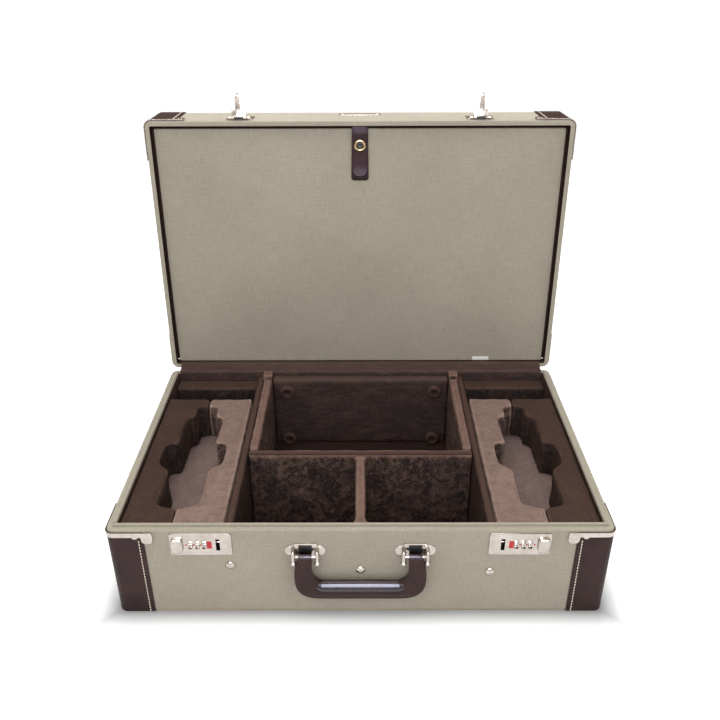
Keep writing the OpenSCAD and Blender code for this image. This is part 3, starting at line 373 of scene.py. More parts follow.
# %% A material from a group
def material(name, group, dark, light, rough, bump, place="Object", stretch=(1, 1, 1), **sockets):
    """Colour runs from dark to light with the group's tone, and bump is in metres."""
    made = bpy.data.materials.new(name)
    made.use_nodes = True
    tree = made.node_tree
    shader = tree.nodes["Principled BSDF"]
    where = add_node(tree, "TexCoord").outputs[place]
    finish = tree.nodes.new("ShaderNodeGroup")
    finish.node_tree = bpy.data.node_groups[group]
    where = add_node(tree, "Mapping", Vector=where, Scale=stretch).outputs[0]
    tree.links.new(where, finish.inputs["Place"])
    ramp = add_node(tree, "ValToRGB", Fac=finish.outputs["Tone"])
    for stop, colour in zip(ramp.color_ramp.elements, (dark, light)):
        stop.color = linear(*colour)
    tree.links.new(ramp.outputs[0], shader.inputs["Base Color"])
    gloss = add_node(tree, "MapRange", Value=finish.outputs["Tone"], To_Min=rough[0], To_Max=rough[1])
    tree.links.new(gloss.outputs[0], shader.inputs["Roughness"])
    if bump:
        relief = add_node(tree, "Bump", Height=finish.outputs["Height"], Distance=bump)
        tree.links.new(relief.outputs[0], shader.inputs["Normal"])
    for socket, value in sockets.items():
        shader.inputs[socket.replace("_", " ")].default_value = value
    return made


# %% [markdown]
# The case's finishes. The tones around each colour come from the photograph: olive linen,
# brown velvet in a dark and a light tone, dark leather and warm nickel. The light velvet's
# lighter colour is painted sheen, where the nap faces the light.

# %% Finishes
def velvet(name, dark, light, sheen, tint, rough=0.8, bump=0.0003, nap=0.35, **sockets):
    """A velvet whose pile shines a little at grazing angles."""
    return material(name, "velvet_pile", dark, light, (rough, 0.95), bump, Specular_IOR_Level=0.15,
                    Sheen_Weight=sheen, Sheen_Roughness=nap, Sheen_Tint=linear(*tint), **sockets)


def hide(name, dark, light, rough, bump, gloss, **sockets):
    """A leather."""
    return material(name, "leather_grain", dark, light, rough, bump, Specular_IOR_Level=gloss, **sockets)


LINEN = dict(group="linen_weave", dark=(138, 128, 108), light=(196, 187, 168), rough=(0.78, 0.92),
             bump=0.00016, Sheen_Weight=0.15, Sheen_Roughness=0.5)
linen = material("linen", place="UV", **LINEN)
linen_flat = material("linen_flat", place="Object", **LINEN)
velvet_dark = velvet("velvet_dark", (26, 17, 14), (82, 61, 52), 0.15, (150, 115, 100))
velvet_light = velvet("velvet_light", (44, 30, 25), (160, 133, 120), 0.22, (200, 175, 165), rough=0.75)
velvet_mid = velvet("velvet_mid", (34, 21, 18), (138, 109, 97), 0.15, (180, 150, 135))
velvet_deep = material("velvet_deep", "velvet_pile", (18, 11, 9), (58, 40, 34), (0.85, 0.95), 0.0003,
                       Specular_IOR_Level=0.1)
velvet_brushed = velvet("velvet_brushed", (50, 36, 32), (86, 66, 60), 0.1, (150, 120, 110),
                        bump=0.0001, stretch=(0.4, 1, 1))
velvet_plum = velvet("velvet_plum", (80, 62, 56), (158, 134, 127), 0.2, (190, 165, 170), nap=0.4)
leather = hide("leather", (34, 19, 18), (66, 44, 42), (0.42, 0.6), 0.00012, 0.2)
patch_leather = hide("patch_leather", (22, 11, 10), (46, 29, 27), (0.42, 0.6), 0.0001, 0.2)
strap_leather = hide("strap_leather", (36, 22, 22), (67, 48, 47), (0.26, 0.42), 0.0001, 0.18,
                     Specular_Tint=linear(235, 232, 255))
roll_leather = hide("roll_leather", (28, 12, 10), (60, 34, 30), (0.18, 0.25), 0.00003, 0.75,
                    Specular_Tint=linear(235, 240, 255))
nickel = material("nickel", "handled_metal", (165, 154, 144), (218, 210, 202), (0.14, 0.32), 0.000004,
                  Metallic=1.0)
brass = material("brass", "handled_metal", (140, 116, 82), (206, 184, 148), (0.14, 0.28), 0.000004,
                 Metallic=1.0)
steel = material("steel", "handled_metal", (150, 148, 146), (190, 188, 186), (0.3, 0.45), 0.000006,
                 Metallic=1.0)
wood = material("wood", "wood_grain", (150, 116, 78), (204, 172, 130), (0.55, 0.75), 0.0001)
foam = material("foam", "velvet_pile", (60, 58, 56), (96, 93, 90), (0.85, 0.95), 0.0002)
red = material("red_paint", "handled_metal", (168, 18, 28), (212, 40, 48), (0.3, 0.45), 0.000004)
thread = material("thread", "wood_grain", (214, 202, 180), (240, 232, 214), (0.6, 0.8), 0.00005)
# A near black for the dial figures, the snap's centre and the dial axles, and painted shade for the lock
# cases, the mount openings and the hasp slots.
dark_mark = material("dark_mark", "handled_metal", (12, 10, 9), (34, 30, 28), (0.4, 0.55), 0.000004)
tag_white = material("tag_white", "wood_grain", (214, 212, 206), (240, 238, 233), (0.5, 0.65), 0.00003)
print("finishes:", [m.name for m in bpy.data.materials])

# %% [markdown]
# A CAD node shows only where no modelled piece stands for it, but each one gets a finish. What
# the list leaves out is nickel.

# %% CAD nodes get their finish
CAD_FINISH = {
    wood: "base_bottom_board base_front_board base_rear_board base_side_boards",
    linen_flat: "base_bottom_cloth base_side_cloth rim_lip lid_cloth pocket_panel",
    velvet_dark: "wall_velvet floor_velvet long_dividers tray_left_outer tray_right_outer hinge_velvet "
                 "foot_cups lid_roof_board lid_wall_boards lid_battens",
    velvet_light: "rear_side_pads rear_back_pad cross_divider centre_divider rear_ledges "
                  "tray_left_inner tray_right_inner",
    velvet_plum: "cavity_floors",
    foam: "tray_blocks",
    leather: "base_leather_front base_leather_rear lid_leather handle_leather",
    strap_leather: "strap_anchor strap strap_patch",
    steel: "handle_core hinge_pin",
    # Painted shade: the lock cases are near black, as the shade seen through the lock's slot and dial
    # windows.
    dark_mark: "lock_cases dial_axles",
    red: "index_plates",
}
finish_of = {name: finish for finish, names in CAD_FINISH.items() for name in names.split()}
for name, node in nodes.items():
    node.data.materials.clear()
    node.data.materials.append(finish_of.get(name, nickel))
print("nickel nodes:", sorted(set(nodes) - set(finish_of)))

# %% [markdown]
# ## Modelling helpers
# All sizes below are millimetres in the case's own frame, and one factor turns them into
# metres. Pieces are started from a primitive at its place, shaped in edit mode, and
# finished with modifiers. The lid is modelled shut, like a second box, and then opened.
# CASE_X and CASE_Y are half the case's width and depth. WALL_Y, FLOOR and PAD_TOP are where
# the padded walls end. The other names are the rims, the top, and the places of the trays,
# the locks and the handle's mounts.

# %% Sizes and places
MM = 0.001
CASE_X, CASE_Y = 300, 191
BASE_TOP, LID_RIM, LID_TOP = 130, 130.4, 206.4
WALL_Y, FLOOR, PAD_TOP = 178.6, 8.2, 128.7
TRAY_X, LOCK_X, MOUNT_X = 225, 189, 65.5
LOCK_Z = 109.5
SIDES = ((-1, "left"), (1, "right"))
CORNERS = [(x, y, y_name, x_name, drop) for x, x_name in SIDES
           for y, y_name, drop in ((-1, "front", 1.2), (1, "rear", 3.6))]
HINGE = Vector((0, 0.1938, 0.1302))
SWUNG = Matrix.Rotation(math.radians(-92.6), 4, "X")
OPEN = Matrix.Translation(HINGE) @ SWUNG @ Matrix.Translation(-HINGE)
MIRROR = Matrix.Diagonal((-1, 1, 1, 1))
print("the case is", 2 * CASE_X, "by", 2 * CASE_Y, "mm")


# %% [markdown]
# Blender's tools act on whatever is selected, so these helpers deselect everything first and
# then pick faces and edges by their place or direction.

# %% Select, edit and modify
def only(*pieces):
    """Selects these objects alone and makes the first one active."""
    bpy.ops.object.select_all(action="DESELECT")
    for piece in pieces:
        piece.select_set(True)
    bpy.context.view_layer.objects.active = pieces[0]
    return pieces[0]


def pick(piece, kind, test):
    """In edit mode, selects the verts, edges or faces that pass the test."""
    bpy.context.tool_settings.mesh_select_mode = tuple(kind == k for k in ("verts", "edges", "faces"))
    bpy.ops.mesh.select_all(action="DESELECT")
    mesh = bmesh.from_edit_mesh(piece.data)
    for element in getattr(mesh, kind):
        element.select_set(bool(test(element)))
    mesh.select_flush_mode()
    bmesh.update_edit_mesh(piece.data)


def along(edge, axis="z"):
    """Tells whether an edge runs along an axis."""
    return abs(getattr((edge.verts[0].co - edge.verts[1].co).normalized(), axis)) > 0.9


def middle(element):
    """The middle of an edge or face in millimetres."""
    return sum((v.co for v in element.verts), Vector()) / len(element.verts) / MM


def edit(piece):
    """Goes into edit mode with all of the piece selected."""
    only(piece)
    bpy.ops.object.mode_set(mode="EDIT")
    bpy.ops.mesh.select_all(action="SELECT")
    return piece


def done():
    """Goes back to object mode."""
    bpy.ops.object.mode_set(mode="OBJECT")


def roll_edges(piece, width, segments, test=along):
    """In edit mode, rounds the edges that pass the test, or else the upright ones."""
    pick(piece, "edges", test)
    bpy.ops.mesh.bevel(offset=width * MM, segments=segments, affect="EDGES")


def slice_up(piece, axis, places):
    """In edit mode, cuts new edges across the piece at places along axis 0 or 1."""
    for place in places:
        spot, normal = [0, 0, 0], [0, 0, 0]
        spot[axis], normal[axis] = place * MM, 1
        pick(piece, "faces", lambda f: True)
        bpy.ops.mesh.bisect(plane_co=spot, plane_no=normal)


def modify(piece, kind, **settings):
    """Adds a modifier and applies it."""
    only(piece)
    made = piece.modifiers.new(kind.lower(), kind)
    for name, value in settings.items():
        setattr(made, name, value)
    bpy.ops.object.modifier_apply(modifier=made.name)
    return piece


def soften(piece, width, segments=2, angle=35):
    """Rounds the sharp edges, as no real edge is razor sharp."""
    return modify(piece, "BEVEL", width=width * MM, segments=segments, limit_method="ANGLE",
                  angle_limit=math.radians(angle), harden_normals=False)


# %% [markdown]
# Most pieces start as a box, as a plate cut to an outline, or as a rod.

# %% Blanks to start from
def block(name, low, high):
    """A box between two corners, its own origin at the world's."""
    bpy.ops.object.select_all(action="DESELECT")
    low, high = Vector(low), Vector(high)
    bpy.ops.mesh.primitive_cube_add(size=MM, location=(low + high) / 2 * MM)
    piece = bpy.context.object
    piece.name = piece.data.name = name
    bpy.ops.object.mode_set(mode="EDIT")
    bpy.ops.transform.resize(value=high - low, center_override=(low + high) / 2 * MM)
    done()
    bpy.ops.object.transform_apply(location=True, rotation=True, scale=True)
    return piece


def rounded(corners, steps=5):
    """An outline whose corners, given as (x, z, reach), are short curves."""
    out = []
    for i, (x, z, reach) in enumerate(corners):
        here = Vector((x, z))
        before = Vector(corners[i - 1][:2]) - here
        after = Vector(corners[(i + 1) % len(corners)][:2]) - here
        for k in range(steps if reach else 1):
            t = k / (steps - 1)
            out.append(here + reach * ((1 - t) ** 2 * before.normalized() + t * t * after.normalized()))
    return out


def plate(name, outline, depth, direction=(0, -1, 0), start=(0, 0, 0)):
    """A flat blank: a disc whose points are drawn out to the outline, then extruded."""
    n, across = Vector(direction), Vector((1, 0, 0))
    rise = Vector((0, 0, 1)) if abs(n.z) < 0.5 else Vector((0, 1, 0))
    bpy.ops.object.select_all(action="DESELECT")
    bpy.ops.mesh.primitive_circle_add(vertices=len(outline), fill_type="NGON", location=(0, 0, 0))
    piece = bpy.context.object
    piece.name = piece.data.name = name
    for vertex, (a, b) in zip(piece.data.vertices, outline):
        vertex.co = (Vector(start) + across * a + rise * b) * MM
    edit(piece)
    bpy.ops.mesh.extrude_region_move(TRANSFORM_OT_translate={"value": n * depth * MM})
    bpy.ops.mesh.select_all(action="SELECT")
    bpy.ops.mesh.normals_make_consistent(inside=False)
    done()
    return piece


def cylinder(name, centre, radius, depth, axis="Z", sides=32):
    """A cylinder about its centre along one axis."""
    turn = {"X": (0, math.pi / 2, 0), "Y": (math.pi / 2, 0, 0), "Z": (0, 0, 0)}[axis]
    bpy.ops.object.select_all(action="DESELECT")
    bpy.ops.mesh.primitive_cylinder_add(vertices=sides, radius=radius * MM, depth=depth * MM,
                                        location=Vector(centre) * MM, rotation=turn)
    piece = bpy.context.object
    piece.name = piece.data.name = name
    bpy.ops.object.transform_apply(location=True, rotation=True, scale=True)
    return piece


# %% [markdown]
# What comes in pairs is modelled once, on the left, and copied with a mesh of its own. Each
# finished piece is handed over with its finish and the body that it moves with.

# %% Cut, join, copy and hand over
def cut(piece, *tools):
    """Cuts the tools out of the piece and throws them away."""
    for tool in tools:
        modify(piece, "BOOLEAN", operation="DIFFERENCE", object=tool, solver="EXACT")
        bpy.data.objects.remove(tool)
    return piece


def join(name, *pieces):
    """Joins pieces into the first one."""
    only(*pieces)
    bpy.ops.object.join()
    pieces[0].name = pieces[0].data.name = name
    return pieces[0]


def another(piece, name, matrix=Matrix()):
    """A copy with its own mesh, moved by a matrix; mirrored copies get their normals turned."""
    made = piece.copy()
    made.data = piece.data.copy()
    made.name = made.data.name = name
    bpy.context.scene.collection.objects.link(made)
    made.data.transform(matrix)
    if matrix.determinant() < 0:
        made.data.flip_normals()
    return made


def twin(piece):
    """The right one of a pair, made from the left one."""
    return another(piece, piece.name.replace("left", "right"), MIRROR)


def like(node, name):
    """A merged copy of a CAD node, with plain normals, to be worked on further."""
    made = another(nodes[node], name)
    made.parent = None
    for key in list(made.keys()):
        del made[key]
    made.hide_render = False
    edit(made)
    bpy.ops.mesh.remove_doubles(threshold=0.00001)
    bpy.ops.mesh.customdata_custom_splitnormals_clear()
    bpy.ops.mesh.dissolve_limited(angle_limit=math.radians(0.5))
    done()
    return made


def present(piece, body, finish, slot, *stands_for, opened=False, smooth=40):
    """Hands a finished piece over: shading, finish, body and the CAD node it stands for. The slot argument
    is not used.
    """
    if opened:
        piece.data.transform(OPEN)
    edit(piece)
    bpy.ops.mesh.normals_make_consistent(inside=False)
    done()
    bpy.ops.object.shade_smooth_by_angle(angle=math.radians(smooth))
    if finish:
        piece.data.materials.clear()
        piece.data.materials.append(finish)
    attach(piece, body)
    if stands_for:
        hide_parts(*stands_for)
    print(f"{piece.name}: {len(piece.data.polygons)} faces")
    return piece


# %% [markdown]
# ## The linen skins
# Linen is glued over the boards, round the upright corners, over the rim and in to the lip.
# A box gets rounded upright edges, its top is inset to the width of the ledge and opened,
# and the outer arris is rolled. The skin is then given its thickness inward, so that the
# outside keeps its size. Real openings for the locks and the hinge are cut last.

# %% Linen skin of a box
def skin(name, z_low, z_high, rim, ledge, arris=1.8):
    """A linen box that is open at its rim, at z_low or z_high."""
    def is_arris(edge):
        at_end = min(abs(middle(edge).z - z) for z in (z_low, z_high)) < 0.01
        return at_end and any(abs(f.normal.z) < 0.1 for f in edge.link_faces)

    piece = block(name, (-CASE_X, -CASE_Y, z_low), (CASE_X, CASE_Y, z_high))
    edit(piece)
    roll_edges(piece, 9, 8)
    pick(piece, "faces", lambda f: abs(middle(f).z - rim) < 0.01)
    bpy.ops.mesh.inset(thickness=ledge * MM, use_even_offset=True)
    bpy.ops.mesh.delete(type="FACE")
    roll_edges(piece, arris, 4, is_arris)
    done()
    modify(piece, "SOLIDIFY", thickness=0.7 * MM, offset=-1, use_even_offset=True)
    return piece


def map_cloth(piece):
    """Lays the weave's map on the piece, one unit to a metre."""
    edit(piece)
    bpy.ops.uv.cube_project(cube_size=1.0, correct_aspect=False)
    done()
    return piece


def cut_for_locks(piece):
    """Cuts the two openings for the lock cases."""
    for side in (-1, 1):
        low, high = (side * LOCK_X - 33, -196, 96), (side * LOCK_X + 33, -170, 123)
        cut(piece, block("tool", low, high))


base_skin = skin("base_linen", 1.6, BASE_TOP, BASE_TOP, 7)
cut_for_locks(base_skin)
cut(base_skin, block("tool", (-286.2, 184, 129), (286.2, 200, 140)))
map_cloth(base_skin)
present(base_skin, "base", linen, "linen", "base_side_cloth", "base_bottom_cloth")
bottom = soften(block("base_underside", (-295, -186, 0), (295, 186, 1.9)), 0.4)
present(map_cloth(bottom), "base", linen, "linen", "base_bottom_cloth")

lid_skin = skin("lid_linen", LID_RIM, LID_TOP, LID_RIM, 6.5)
cut(lid_skin, block("tool", (-286.2, 184, 120), (286.2, 200, 131.4)))
map_cloth(lid_skin)
present(lid_skin, "lid", linen, "linen", "lid_cloth", opened=True)

# %% [markdown]
# The lip is the top of the inner boards, wrapped in the same linen. Its CAD shape is already
# right, with a round top, so a merged copy only needs its four outer corners rounded, as the
# cloth rounds them, and the weave's map. The round corners also clear the shut lid.
# A dark strip on the lid's inner walls is painted shadow: it stands for the shade in the gap
# round the pocket panel.

# %% Lip and the lid's shadow strip
lip = like("rim_lip", "lip_linen")
limit = block("tool", (-293.2, -184.2, 0), (293.2, 183.9, 140))
edit(limit)
roll_edges(limit, 3.6, 6)
done()
modify(lip, "BOOLEAN", operation="INTERSECT", object=limit, solver="EXACT")
bpy.data.objects.remove(limit)
present(map_cloth(lip), "base", linen, "linen", "rim_lip")


def sleeve(name, low, high, thick, corner_width=0):
    """A box without top and bottom, given its thickness inward."""
    piece = block(name, low, high)
    edit(piece)
    pick(piece, "faces", lambda f: abs(f.normal.z) > 0.9)
    bpy.ops.mesh.delete(type="FACE")
    if corner_width:
        roll_edges(piece, corner_width, 4)
    done()
    return modify(piece, "SOLIDIFY", thickness=thick * MM, offset=-1, use_even_offset=True)


# Painted shadow: a dark strip where the gap round the pocket panel is in shade.
shadow_strip = sleeve("lid_lining", (-293.45, -184.45, 130.9), (293.45, 184.45, 143.4), 0.25, 2.3)
present(shadow_strip, "lid", velvet_deep, "velvet_dark", opened=True)

# %% [markdown]
# ## Leather corners
# Each corner is one piece of leather, wrapped round the box and sewn near its edges. It is
# made as it would be cut: a flat blank, thickened, its edges turned, and then wrapped round
# the corner by moving its points along the wall, the arc and the next wall. Stitches are
# small beads in a row; one is modelled and repeated by an array.

# %% Wrap a flat blank round a corner
RADIUS = 9.0
ARC = RADIUS * math.pi / 4
ARC_CUTS = [k / 6 * ARC for k in range(-6, 7)]


def wrap(piece, x_side=-1, y_side=-1):
    """Takes (along, -out, up) to the front left corner, then mirrors it where asked."""
    for vertex in piece.data.vertices:
        reach, out, rise = vertex.co.x / MM, -vertex.co.y / MM, vertex.co.z / MM
        turn = max(-1, min(1, reach / ARC)) * math.pi / 4
        rest = reach - max(-ARC, min(ARC, reach))
        angle = math.radians(-135) + turn
        normal = Vector((math.cos(angle), math.sin(angle)))
        flat = Vector((-math.sin(angle), math.cos(angle)))
        spot = Vector((-CASE_X + RADIUS, -CASE_Y + RADIUS)) + normal * (RADIUS + out) + flat * rest
        vertex.co = Vector((spot.x, spot.y, rise)) * MM
    piece.data.transform(Matrix.Diagonal((-x_side, -y_side, 1, 1)))
    if x_side * y_side < 0:
        piece.data.flip_normals()
    return piece


REACH = 44 - RADIUS + ARC


def leather_blank(name, z_low, z_high):
    """A flat piece of leather with turned edges, cut across where it will bend."""
    piece = block(name, (-REACH, -1.2, z_low), (REACH, 0.05, z_high))
    edit(piece)
    slice_up(piece, 0, ARC_CUTS)
    done()
    return soften(piece, 0.45, 3)


# %% [markdown]
# A stitch is a small ball, pulled long and flat. The rows are laid on the flat blank and then
# wrapped with it.

# %% Stitched leather corners
bpy.ops.object.select_all(action="DESELECT")
bpy.ops.mesh.primitive_uv_sphere_add(segments=6, ring_count=5, radius=MM)
stitch = bpy.context.object
edit(stitch)
bpy.ops.transform.resize(value=(0.8, 0.6, 1.9), center_override=(0, 0, 0))
done()


def seam(name, x, z_low, z_high, out=1.3, pitch=4.6):
    """A row of stitches up the blank at x."""
    count = int((z_high - z_low) / pitch) + 1
    row = another(stitch, name, Matrix.Translation((x * MM, -out * MM, z_low * MM)))
    return modify(row, "ARRAY", count=count, use_relative_offset=False,
                  use_constant_offset=True, constant_offset_displace=(0, 0, pitch * MM))


def corner(name, x_side, y_side, heights, seam_heights, body, node, opened):
    """A leather corner between two heights, with a seam near each end."""
    piece = wrap(leather_blank(name, *heights), x_side, y_side)
    present(piece, body, leather, "leather", node, opened=opened)
    rows = [seam(name + "_seam", x, *seam_heights) for x in (-REACH + 6, REACH - 6)]
    rows = wrap(join(name + "_stitches", *rows), x_side, y_side)
    present(rows, body, thread, "leather", opened=opened)


for x_side, y_side, y_name, x_name, drop in CORNERS:
    corner(f"base_corner_{y_name}_{x_name}", x_side, y_side, (0.4, 128.4 - drop),
           (3, 116 - drop), "base", f"base_leather_{y_name}", False)
    corner(f"lid_corner_{y_name}_{x_name}", x_side, y_side, (132 + drop, LID_TOP),
           (144.4 + drop, 203), "lid", "lid_leather", True)
bpy.data.objects.remove(stitch)

# %% [markdown]
# ## Corner brackets
# A bracket is stamped from sheet nickel: a strip along the rim with a small step, and a round
# lobe with two rivets at each end. It too is a flat blank that is wrapped round the corner.
# The outline is drawn once for one arm and mirrored for the other.

# %% Bracket
def bracket_blank(name, top, down):
    """down is 1 where the lobes hang below the strip and -1 where they stand above it."""
    tip = 55 - RADIUS + ARC
    arm = rounded([
        (tip, 0, 5), (tip, -18, 6.7), (tip - 13.6, -18, 6.7), (tip - 13.6, -8.2, 1.6),
        (tip - 17.5, -8.2, 1.4), (tip - 18.5, -10.6, 1.2), (tip - 23, -10.6, 1.2), (tip - 24.5, -8.6, 1.2),
    ])
    other = [(-x, z) for x, z in reversed(arm)]
    piece = plate(name, [(x, top + down * z) for x, z in [*arm, *other]], 1.0, start=(0, -1.2, 0))
    edit(piece)
    slice_up(piece, 0, ARC_CUTS)
    done()
    parts = [soften(piece, 0.35, 2, 50)]
    for side in (-1, 1):
        for step in (-1, 1):
            spot = (side * (tip - 6.8) + step * 1.9, -2.25, top - down * 11)
            parts.append(soften(cylinder("rivet", spot, 1.15, 0.7, "Y", 16), 0.3))
    return join(name, *parts)


for x_side, y_side, y_name, x_name, drop in CORNERS:
    piece = bracket_blank(f"base_bracket_{y_name}_{x_name}", BASE_TOP - drop, 1)
    present(wrap(piece, x_side, y_side), "base", nickel, "nickel", "base_brackets")
    piece = bracket_blank(f"lid_bracket_{y_name}_{x_name}", LID_RIM + drop, -1)
    present(wrap(piece, x_side, y_side), "lid", nickel, "nickel", "lid_brackets", opened=True)

# %% [markdown]
# ## Padded walls and trays
# Every wall inside is a board or foam block under velvet. Its edges are round, its faces are
# a little full, and they crease where the cloth turns. Each block is remeshed into small even
# squares, its edges are relaxed, and then a short cloth simulation with a little pressure
# inside fills it. The movement is capped, so that it stays in its place between neighbours.

# %% Upholster a block
padding = bpy.data.textures.new("padding", "CLOUDS")
padding.noise_scale = 0.035


def swell(piece, cap, pressure=4.0, frames=20):
    """Blows the piece up as cloth, and lets no point move further than cap millimetres."""
    def points():
        co = np.zeros(len(piece.data.vertices) * 3)
        piece.data.vertices.foreach_get("co", co)
        return co.reshape(-1, 3)

    before = points()
    only(piece)
    cloth = piece.modifiers.new("cloth", "CLOTH")
    cloth.settings.use_pressure = True
    cloth.settings.uniform_pressure_force = pressure
    cloth.settings.quality = 4
    cloth.settings.tension_stiffness = cloth.settings.compression_stiffness = 12
    cloth.settings.effector_weights.gravity = 0
    cloth.collision_settings.use_collision = False
    for number in range(1, frames + 1):
        bpy.context.scene.frame_set(number)
    bpy.ops.object.modifier_apply(modifier=cloth.name)
    bpy.context.scene.frame_set(1)
    moved = points() - before
    far = np.linalg.norm(moved, axis=1, keepdims=True) + 1e-9
    after = before + moved / far * cap * MM * np.tanh(far / (cap * MM))
    piece.data.vertices.foreach_set("co", after.ravel())
    piece.data.update()
    return piece


def upholster(piece, voxel=2.4, relax=7, cap=0.8, simulate=True):
    """Even squares, relaxed edges, and a filled surface."""
    modify(piece, "REMESH", mode="VOXEL", voxel_size=voxel * MM)
    modify(piece, "SMOOTH", factor=0.5, iterations=relax)
    if simulate:
        swell(piece, cap)
    return modify(piece, "DISPLACE", texture=padding, texture_coords="GLOBAL", strength=1.7 * MM,
                  mid_level=0.5)


# %% [markdown]
# ## Microphone trays
# Each tray is made of two halves that meet in the middle, the outer one in dark velvet and
# the inner one in light. Both are one cloth: the inner half's lighter colour is painted sheen
# of its nap. The same outline cuts the hollow for the microphone in both: a pointed nose, the
# body, the wide place for the swivel mount and the narrow head end. Where the cloth turns round
# the narrow end it gathers in upright folds, which are waves moved into the wall after the
# remesh. The left tray is modelled, and the right one is its mirror.

# %% Tray halves
HOLLOW = [(26, -141.5, 8), (26, -71, 7), (43, -56, 9), (43, -10, 9), (26, -10, 4), (26, 55, 6),
          (15, 58, 3), (15, 85, 9)]
OUTLINE = rounded([(0, -150, 6)] + HOLLOW + [(-x, y, r) for x, y, r in reversed(HOLLOW)])


def gather(piece):
    """Waves the walls of the narrow end, fading out towards the wide part and the top."""
    piece.data.update()
    for vertex in piece.data.vertices:
        x, y, z = vertex.co / MM
        n = vertex.normal
        outside = abs(x + TRAY_X) > 48 or abs(x + 162) < 2 or abs(x + 288) < 2
        if outside or abs(n.z) > 0.6 or z > 127 or y < -8 or y > 92:
            continue
        strength = min(1, (y + 8) / 40) * min(1, (127 - z) / 14)
        wave = math.sin(0.62 * y + 0.35 * math.sin(z * 0.11)) + 0.5 * math.sin(0.9 * x + 1.3)
        vertex.co += n * 1.25 * strength * wave * MM
    piece.data.update()
    return piece


def tray_half(name, x_low, x_high):
    """One half of the left tray, with its part of the hollow cut out."""
    piece = block(name, (x_low + 0.5, -WALL_Y, 75.2), (x_high - 0.5, 106.4, 128.6))
    edit(piece)
    roll_edges(piece, 6, 4, lambda e: along(e) and abs(middle(e).x + TRAY_X) < 1)
    done()
    outline = [(x - TRAY_X, y) for x, y in OUTLINE]
    cut(piece, plate("tool", outline, 80, direction=(0, 0, 1), start=(0, 0, 60)))
    return gather(upholster(piece, 2.0, 6, 0.9))


outer = tray_half("tray_left_dark", -288, -225.2)
inner = tray_half("tray_left_light", -224.8, -162)
for piece, half, finish, slot in ((outer, "outer", velvet_dark, "velvet_dark"),
                                  (inner, "inner", velvet_light, "velvet_light")):
    mirrored = twin(piece)
    for made, side in ((piece, "left"), (mirrored, "right")):
        present(made, "base", finish, slot, f"tray_{side}_{half}", smooth=70)

# %% [markdown]
# The bottom of each hollow is a thin velvet board of its own, a shade greyer. It is cut up
# into squares and waved a little, as cloth over foam is.

# %% Hollow floors
def velvet_board(name, low, high, cell=5.0, wave=0.5):
    """A thin board cut into squares, its top waved a little."""
    piece = block(name, low, high)
    edit(piece)
    size = Vector(high) - Vector(low)
    for axis in (0, 1):
        slice_up(piece, axis, [low[axis] + k * cell for k in range(1, int(size[axis] / cell))])
    done()
    top = piece.vertex_groups.new(name="top")
    top.add([v.index for v in piece.data.vertices if v.co.z / MM > high[2] - 0.01], 1.0, "REPLACE")
    return modify(piece, "DISPLACE", texture=padding, texture_coords="GLOBAL", strength=wave * MM,
                  mid_level=1.0, vertex_group="top")


left_floor = velvet_board("hollow_floor_left", (-287.6, -WALL_Y, 74.2), (-162.4, 106.4, 75.0))
for piece in (left_floor, twin(left_floor)):
    present(piece, "base", velvet_plum, "velvet_light", "cavity_floors", smooth=60)

# %% [markdown]
# ## Dividers and the rear compartment
# Plain padded walls, so one function makes them all. The centre divider flares where its
# velvet turns onto the front wall and the cross divider, which is why its ends are scaled up
# before it is upholstered.

# %% Padded walls
def wall(name, low, high, finish, slot, node, shape=None, simulate=True):
    """A padded wall between two corners."""
    piece = block(name, low, high)
    if shape:
        shape(piece)
    upholster(piece, simulate=simulate)
    present(piece, "base", finish, slot, node, smooth=70)
    return piece


def pair(name, low, high, finish, slot, node, **more):
    """A wall on the left and its mirror on the right."""
    right = twin(wall(name + "_left", low, high, finish, slot, node, **more))
    right.parent = None
    present(right, "base", finish, slot, node, smooth=70)


def flare(piece):
    """Widens both ends of the centre divider."""
    edit(piece)
    slice_up(piece, 1, (-170, -163, -50, -45))
    for y, grow in ((-WALL_Y, 2.4), (-170, 1.25), (-45, 1.1), (-38.4, 1.7)):
        pick(piece, "verts", lambda v: abs(v.co.y / MM - y) < 0.2)
        bpy.ops.transform.resize(value=(grow, 1, 1), center_override=(0, 0, 0))
    done()


pair("long_divider", (-161.4, -WALL_Y, FLOOR), (-152.2, WALL_Y, 126.7), velvet_dark, "velvet_dark",
     "long_dividers", simulate=False)
pair("rear_side_pad", (-151.4, -23.6, FLOOR), (-139.7, WALL_Y, PAD_TOP), velvet_mid, "velvet_light",
     "rear_side_pads")
wall("rear_back_wall", (-138.9, 163.4, FLOOR), (138.9, WALL_Y, PAD_TOP), velvet_brushed,
     "velvet_light", "rear_back_pad")
wall("cross_wall", (-151.4, -37.6, FLOOR), (151.4, -24.4, PAD_TOP), velvet_mid, "velvet_light",
     "cross_divider")
wall("centre_wall", (-5.6, -WALL_Y, FLOOR), (5.6, -38.4, PAD_TOP), velvet_mid, "velvet_light",
     "centre_divider", shape=flare)
pair("rear_ledge", (-287.6, 152.4, FLOOR), (-162.4, WALL_Y, 118.8), velvet_dark, "velvet_light",
     "rear_ledges", simulate=False)

# %% [markdown]
# On top of the cross divider the velvet is folded over and glued, which leaves a raised strip
# with a wavy edge. The side walls' rear ends stand up over the lip, where the cloth is doubled.

# %% Folded cloth
fold = velvet_board("cross_fold", (-150.6, -37.2, 127.6), (150.6, -30.6, 129.4), 6.0, 0.7)
present(fold, "base", velvet_dark, "velvet_light", smooth=60)
pad_end = block("pad_end_left", (-152.6, 164, 124), (-138.8, 181.8, 134.4))
upholster(pad_end, 1.6, 5, simulate=False)
for piece in (pad_end, twin(pad_end)):
    present(piece, "base", velvet_mid, "velvet_light", smooth=70)

# %% [markdown]
# The inner walls and the floor are lined with dark velvet on the boards. The lining is a
# box without top and bottom, given its thickness inward and cut out for the two lock cases.

